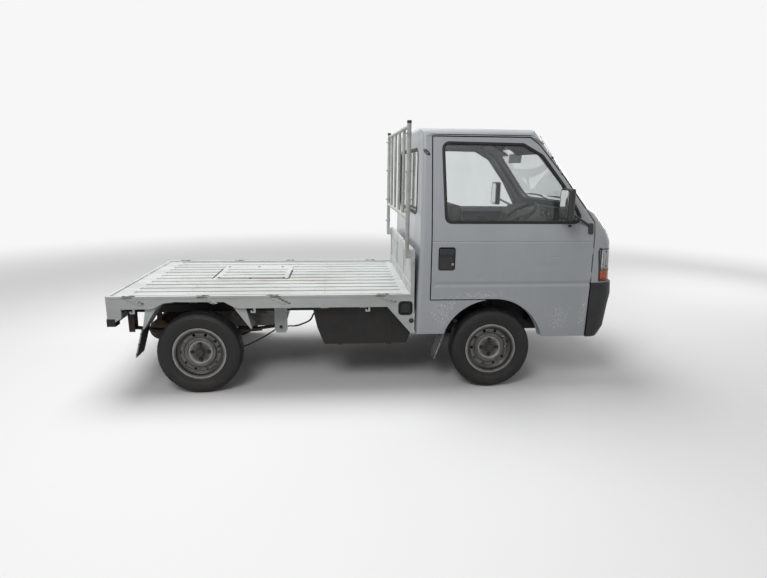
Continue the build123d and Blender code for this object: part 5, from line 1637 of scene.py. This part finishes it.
# Brake pipes and hoses along the frame, and to the rear wheels: points and radius
rearHose = ((-653, -400, 337), (-740, -410, 286), (-857, -440, 240), (-960, -470, 250), (-1052, -500, 262))
pipes = (
    (((-120, -366, 500), (-300, -366, 490), (-371, -420, 469), (-405, -440, 419), (-470, -440, 388),
      (-514, -430, 375)), 5.5),
    (((-514, -430, 375), (-560, -400, 366), (-640, -380, 342), (-653, -400, 337)), 4.5),
    (rearHose, 5.0), (tuple((x, -y, z) for x, y, z in rearHose), 5.0),
    (((-1540, -366, 520), (-900, -366, 520), (-300, -366, 505), (250, -366, 505), (600, -366, 500)), 3.2),
)


def smoothRun(points, steps=8):
    # A Catmull-Rom line through the points
    line, path = [Vector(p) for p in points], []
    for i in range(len(line) - 1):
        before, start, end, after = line[max(i - 1, 0)], line[i], line[i + 1], line[min(i + 2, len(line) - 1)]
        bend = 2 * before - 5 * start + 4 * end - after
        twist = 3 * start - before - 3 * end + after
        for t in (k / steps for k in range(steps)):
            path.append(0.5 * ((2 * start) + (end - before) * t + bend * t**2 + twist * t**3))
    return path + [line[-1]]


def makePipes():
    parts = [tube(smoothRun(points), radius, 10) for points, radius in pipes]
    addPiece("brakePipes", joinParts(parts), "sealRubber")


# Tail lamps: red, amber and clear parts behind one black frame; rings are (drawn in, forwards)
tailLamps = dict(
    face=-1646.3, y=(440, 590), z=(490, 590), frame=[(-1, 22), (-1, -1.4), (0.4, -2.0), (3.6, -2.0), (4.4, -0.5)],
    lensZ=(494, 586), lens=[(0, 15), (0, 1.2), (1.4, 0), (12, -0.6), (19, -0.8)],
    parts=(("Stop", (533, 586), "redLens"), ("Turn", (486, 532), "amberLens"), ("Reverse", (444, 485), "clearLens")),
)


def makeTailLamp(label, side):
    face, y, z = tailLamps["face"], tailLamps["y"], tailLamps["z"]

    def place(across, high, out):
        return Vector((face + out, side * across, high))

    border = loopRings(rectangle(y, z), 8, tailLamps["frame"], place, cap=False)
    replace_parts(addPiece(f"tailLampFrame{label}", border, "handlePlastic"), "tail_lamps")
    back = block((face + 16, face + 19), sorted((side * (y[0] + 1), side * (y[1] - 1))), (z[0] + 1, z[1] - 1))
    addPiece(f"tailLampBack{label}", back, "reflector", smooth=False)
    for part, limits, finish in tailLamps["parts"]:
        lens = loopRings(rectangle(limits, tailLamps["lensZ"]), 3, tailLamps["lens"], place)
        addPiece(f"tailLamp{part}{label}", lens, finish)


# Slatted panel between the headlamps, and the air inlet under the windscreen; a slat's section is (forwards, upwards)
frontPanel = dict(
    half=374, z=(766, 906), slats=6, step=22.5, start=8, section=((1.5, 0), (7, 3), (8, 7), (1.5, 10)),
    frame=[(-2, -2), (-2, 7), (0, 9), (5, 9), (7, 7), (7, -2)], inlets=37, inletStep=18, inletZ=(1180, 1199),
)


def makeFrontTrim():
    (low, high), half, step = frontPanel["z"], frontPanel["half"], frontPanel["step"]
    grid = [[frontSpot(-half + 2 * half * k / 24, z, 1.2) for k in range(25)] for z in (low, low + 4, high - 4, high)]
    addPiece("frontPanelBack", shell(grid, 2.0), "handlePlastic")
    base = [frontSpot(-half + 6 + 2 * (half - 6) * k / 24, low, 0) for k in range(25)]
    bar = [[p + Vector((out, 0, rise)) for p in base] for out, rise in frontPanel["section"]]
    lean, start = (frontSpot(0, high).x - frontSpot(0, low).x) / (high - low), frontPanel["start"]
    slats = bakeRepeat(shell(bar, 1.5), "bumperPlastic", frontPanel["slats"], offset=(lean * step, 0, step),
                       centre=(lean * start, 0, start))
    addPiece("frontPanelSlats", slats, "bumperPlastic")
    edge = gridEdge(grid)
    normals = [Vector((1, 0, 0.1)).normalized()] * len(edge)
    turnOutwards(edge, normals)
    addPiece("frontPanelFrame", sweep(edge, normals, frontPanel["frame"]), "bumperPlastic")
    # Dark bars over the inlet's slots paint the shade inside them
    bars = []
    for k in range(frontPanel["inlets"]):
        y = frontPanel["inletStep"] * (k - (frontPanel["inlets"] - 1) // 2)
        p, q = (frontSpot(y, z, 0.4) for z in frontPanel["inletZ"])
        bars.append(tube([p, p.lerp(q, 0.5) + Vector((1.0, 0, 1.6)), q], 3.0, 8))
    addPiece("cowlSlotShade", joinParts(bars), "sealRubber")


# Clamps on the guard's posts and rubber on their tips; profiles are (along, radius)
guard = dict(
    x=228, y=640, clampZ=(1000, 1180, 1420, 1650), tipZ=1725.2, ring=[(-7, 13.2), (-7, 15.4), (7, 15.4), (7, 13.2)],
    screw=[(0, 5.5), (7, 5.5), (9, 3.5), (9, 0.01)], tip=[(-16, 13.3), (-16, 14.6), (-2, 14.6), (0, 13.4), (0, 0.01)],
)


def makeGuardTrim():
    clamps, tips, x = [], [], guard["x"]
    for side in sides.values():
        y = side * guard["y"]
        for z in guard["clampZ"]:
            clamps.append(lathe(guard["ring"], (x, y, z), alongZ, alongX, 26))
            clamps.append(lathe(guard["screw"], (x - 15, y, z), -alongX, alongY, 14))
        tips.append(lathe(guard["tip"], (x, y, guard["tipZ"]), alongZ, alongX, 26))
    addPiece("guardClamps", joinParts(clamps), "guardPaint")
    addPiece("guardCaps", joinParts(tips), "sealRubber")


# Pale strips along the flaps' outer edges that paint the highlight on them: (X, Z) of the top and foot, Y of the edge;
# screws are at steps of the run
flapEdgeHighlights = dict(
    runs=(((516.5, 419), (431, 178), 600), ((-1442, 428), (-1492, 249), 664)), steps=8,
    radii=[3.4] + [4.8] * 7 + [3.0],
    screws=(1, 4, 7), screw=[(-1, 5), (4.4, 5), (5.4, 3.4), (5.4, 0.01)],
)


def makeFlapEdgeHighlights(label, side):
    parts, screws, steps = [], [], flapEdgeHighlights["steps"]
    for top, foot, y in flapEdgeHighlights["runs"]:
        run = [Vector((top[0] + (foot[0] - top[0]) * k / steps, side * (y + 0.6),
                       top[1] + (foot[1] - top[1]) * k / steps))
               for k in range(steps + 1)]
        parts.append(tube(run, flapEdgeHighlights["radii"], 8))
        screws += [lathe(flapEdgeHighlights["screw"], run[k], alongY * side, alongX, 14) for k in flapEdgeHighlights["screws"]]
    addPiece(f"flapEdgeHighlight{label}", joinParts(parts), "flapHighlightPale")
    addPiece(f"flapScrews{label}", joinParts(screws), "hubBlack")


# Dark strip in the drip channel over the door that paints the shadow under the drip rail, and the weatherstrip behind
# the door's shut line
doorSealAndDripShadow = dict(
    dripX=352, dripZ=1648.5, dripStep=24, dripSteps=28, dripEnd=((1018, 1644), (1040, 1635), (1058, 1624)), drip=3.2,
    shut=[(379, 616), (379, 1638), (1002, 1638), (1066, 1593), (1240, 1389), (1376, 1203), (1438, 1112), (1438, 640)],
    shutOut=-15, shutStep=40, shutRadius=4.6,
)


# A dark strip of painted shadow under the drip rail over the door
def makeDripShadow(label, side):
    run = [(doorSealAndDripShadow["dripX"] + doorSealAndDripShadow["dripStep"] * k,
            doorSealAndDripShadow["dripZ"]) for k in range(doorSealAndDripShadow["dripSteps"])]
    path = [sideSpot(x, z, side, 0.4) for x, z in (*run, *doorSealAndDripShadow["dripEnd"])]
    radii = [0.8, 2.6] + [doorSealAndDripShadow["drip"]] * (len(path) - 4) + [2.2, 0.8]
    addPiece(f"dripShadow{label}", tube(path, radii, 8), "sealRubber")


def makeShutSeal(label, side):
    outline, out, path = doorSealAndDripShadow["shut"], doorSealAndDripShadow["shutOut"], []
    for (x, z), (nextX, nextZ) in zip(outline, outline[1:]):
        steps = max(2, int(math.hypot(nextX - x, nextZ - z) / doorSealAndDripShadow["shutStep"]))
        path += [sideSpot(x + (nextX - x) * k / steps, z + (nextZ - z) * k / steps, side, out) for k in range(steps)]
    path.append(sideSpot(*outline[-1], side, out))
    addPiece(f"shutSeal{label}", tube(path, doorSealAndDripShadow["shutRadius"], 8), "sealRubber")


# Worn bright lip of the rim, and the dirt lines where the disc is welded in; profiles are (outwards, radius)
rimTrim = dict(
    lip=[(56.2, 168.05), (57.25, 168.15), (57.35, 166.6), (57.2, 165.2), (56.2, 165.1)],
    seams=([(21.9, 133.9), (24.6, 131.6), (24.9, 129.4), (21.9, 126.4)],
           [(31.9, 90.5), (32.4, 90.4), (32.4, 88.4), (31.9, 88.3)]),
)


def makeRimTrim(end, label, side):
    centre, body = wheelCentre(end, side), f"wheel_{end}_{label}".lower()
    addPiece(f"rimLip{end}{label}", sideLathe(rimTrim["lip"], centre, side, 96), "rimLip", body)
    seams = [sideLathe(profile, centre, side, 72) for profile in rimTrim["seams"]]
    addPiece(f"rimSeam{end}{label}", joinParts(seams), "hubBlack", body)


makeHatchTrim()
makeFiller(sides["Right"])
makePipes()
makeFrontTrim()
makeGuardTrim()
for label, side in sides.items():
    makeRailLugs(label, side)
    makeHanger(label, side)
    makeCoil(label, side)
    makeTailLamp(label, side)
    makeShutSeal(label, side)
    makeDripShadow(label, side)
    makeFlapEdgeHighlights(label, side)
    for end in ("Front", "Rear"):
        makeRimTrim(end, label, side)
print("bed and underside made")
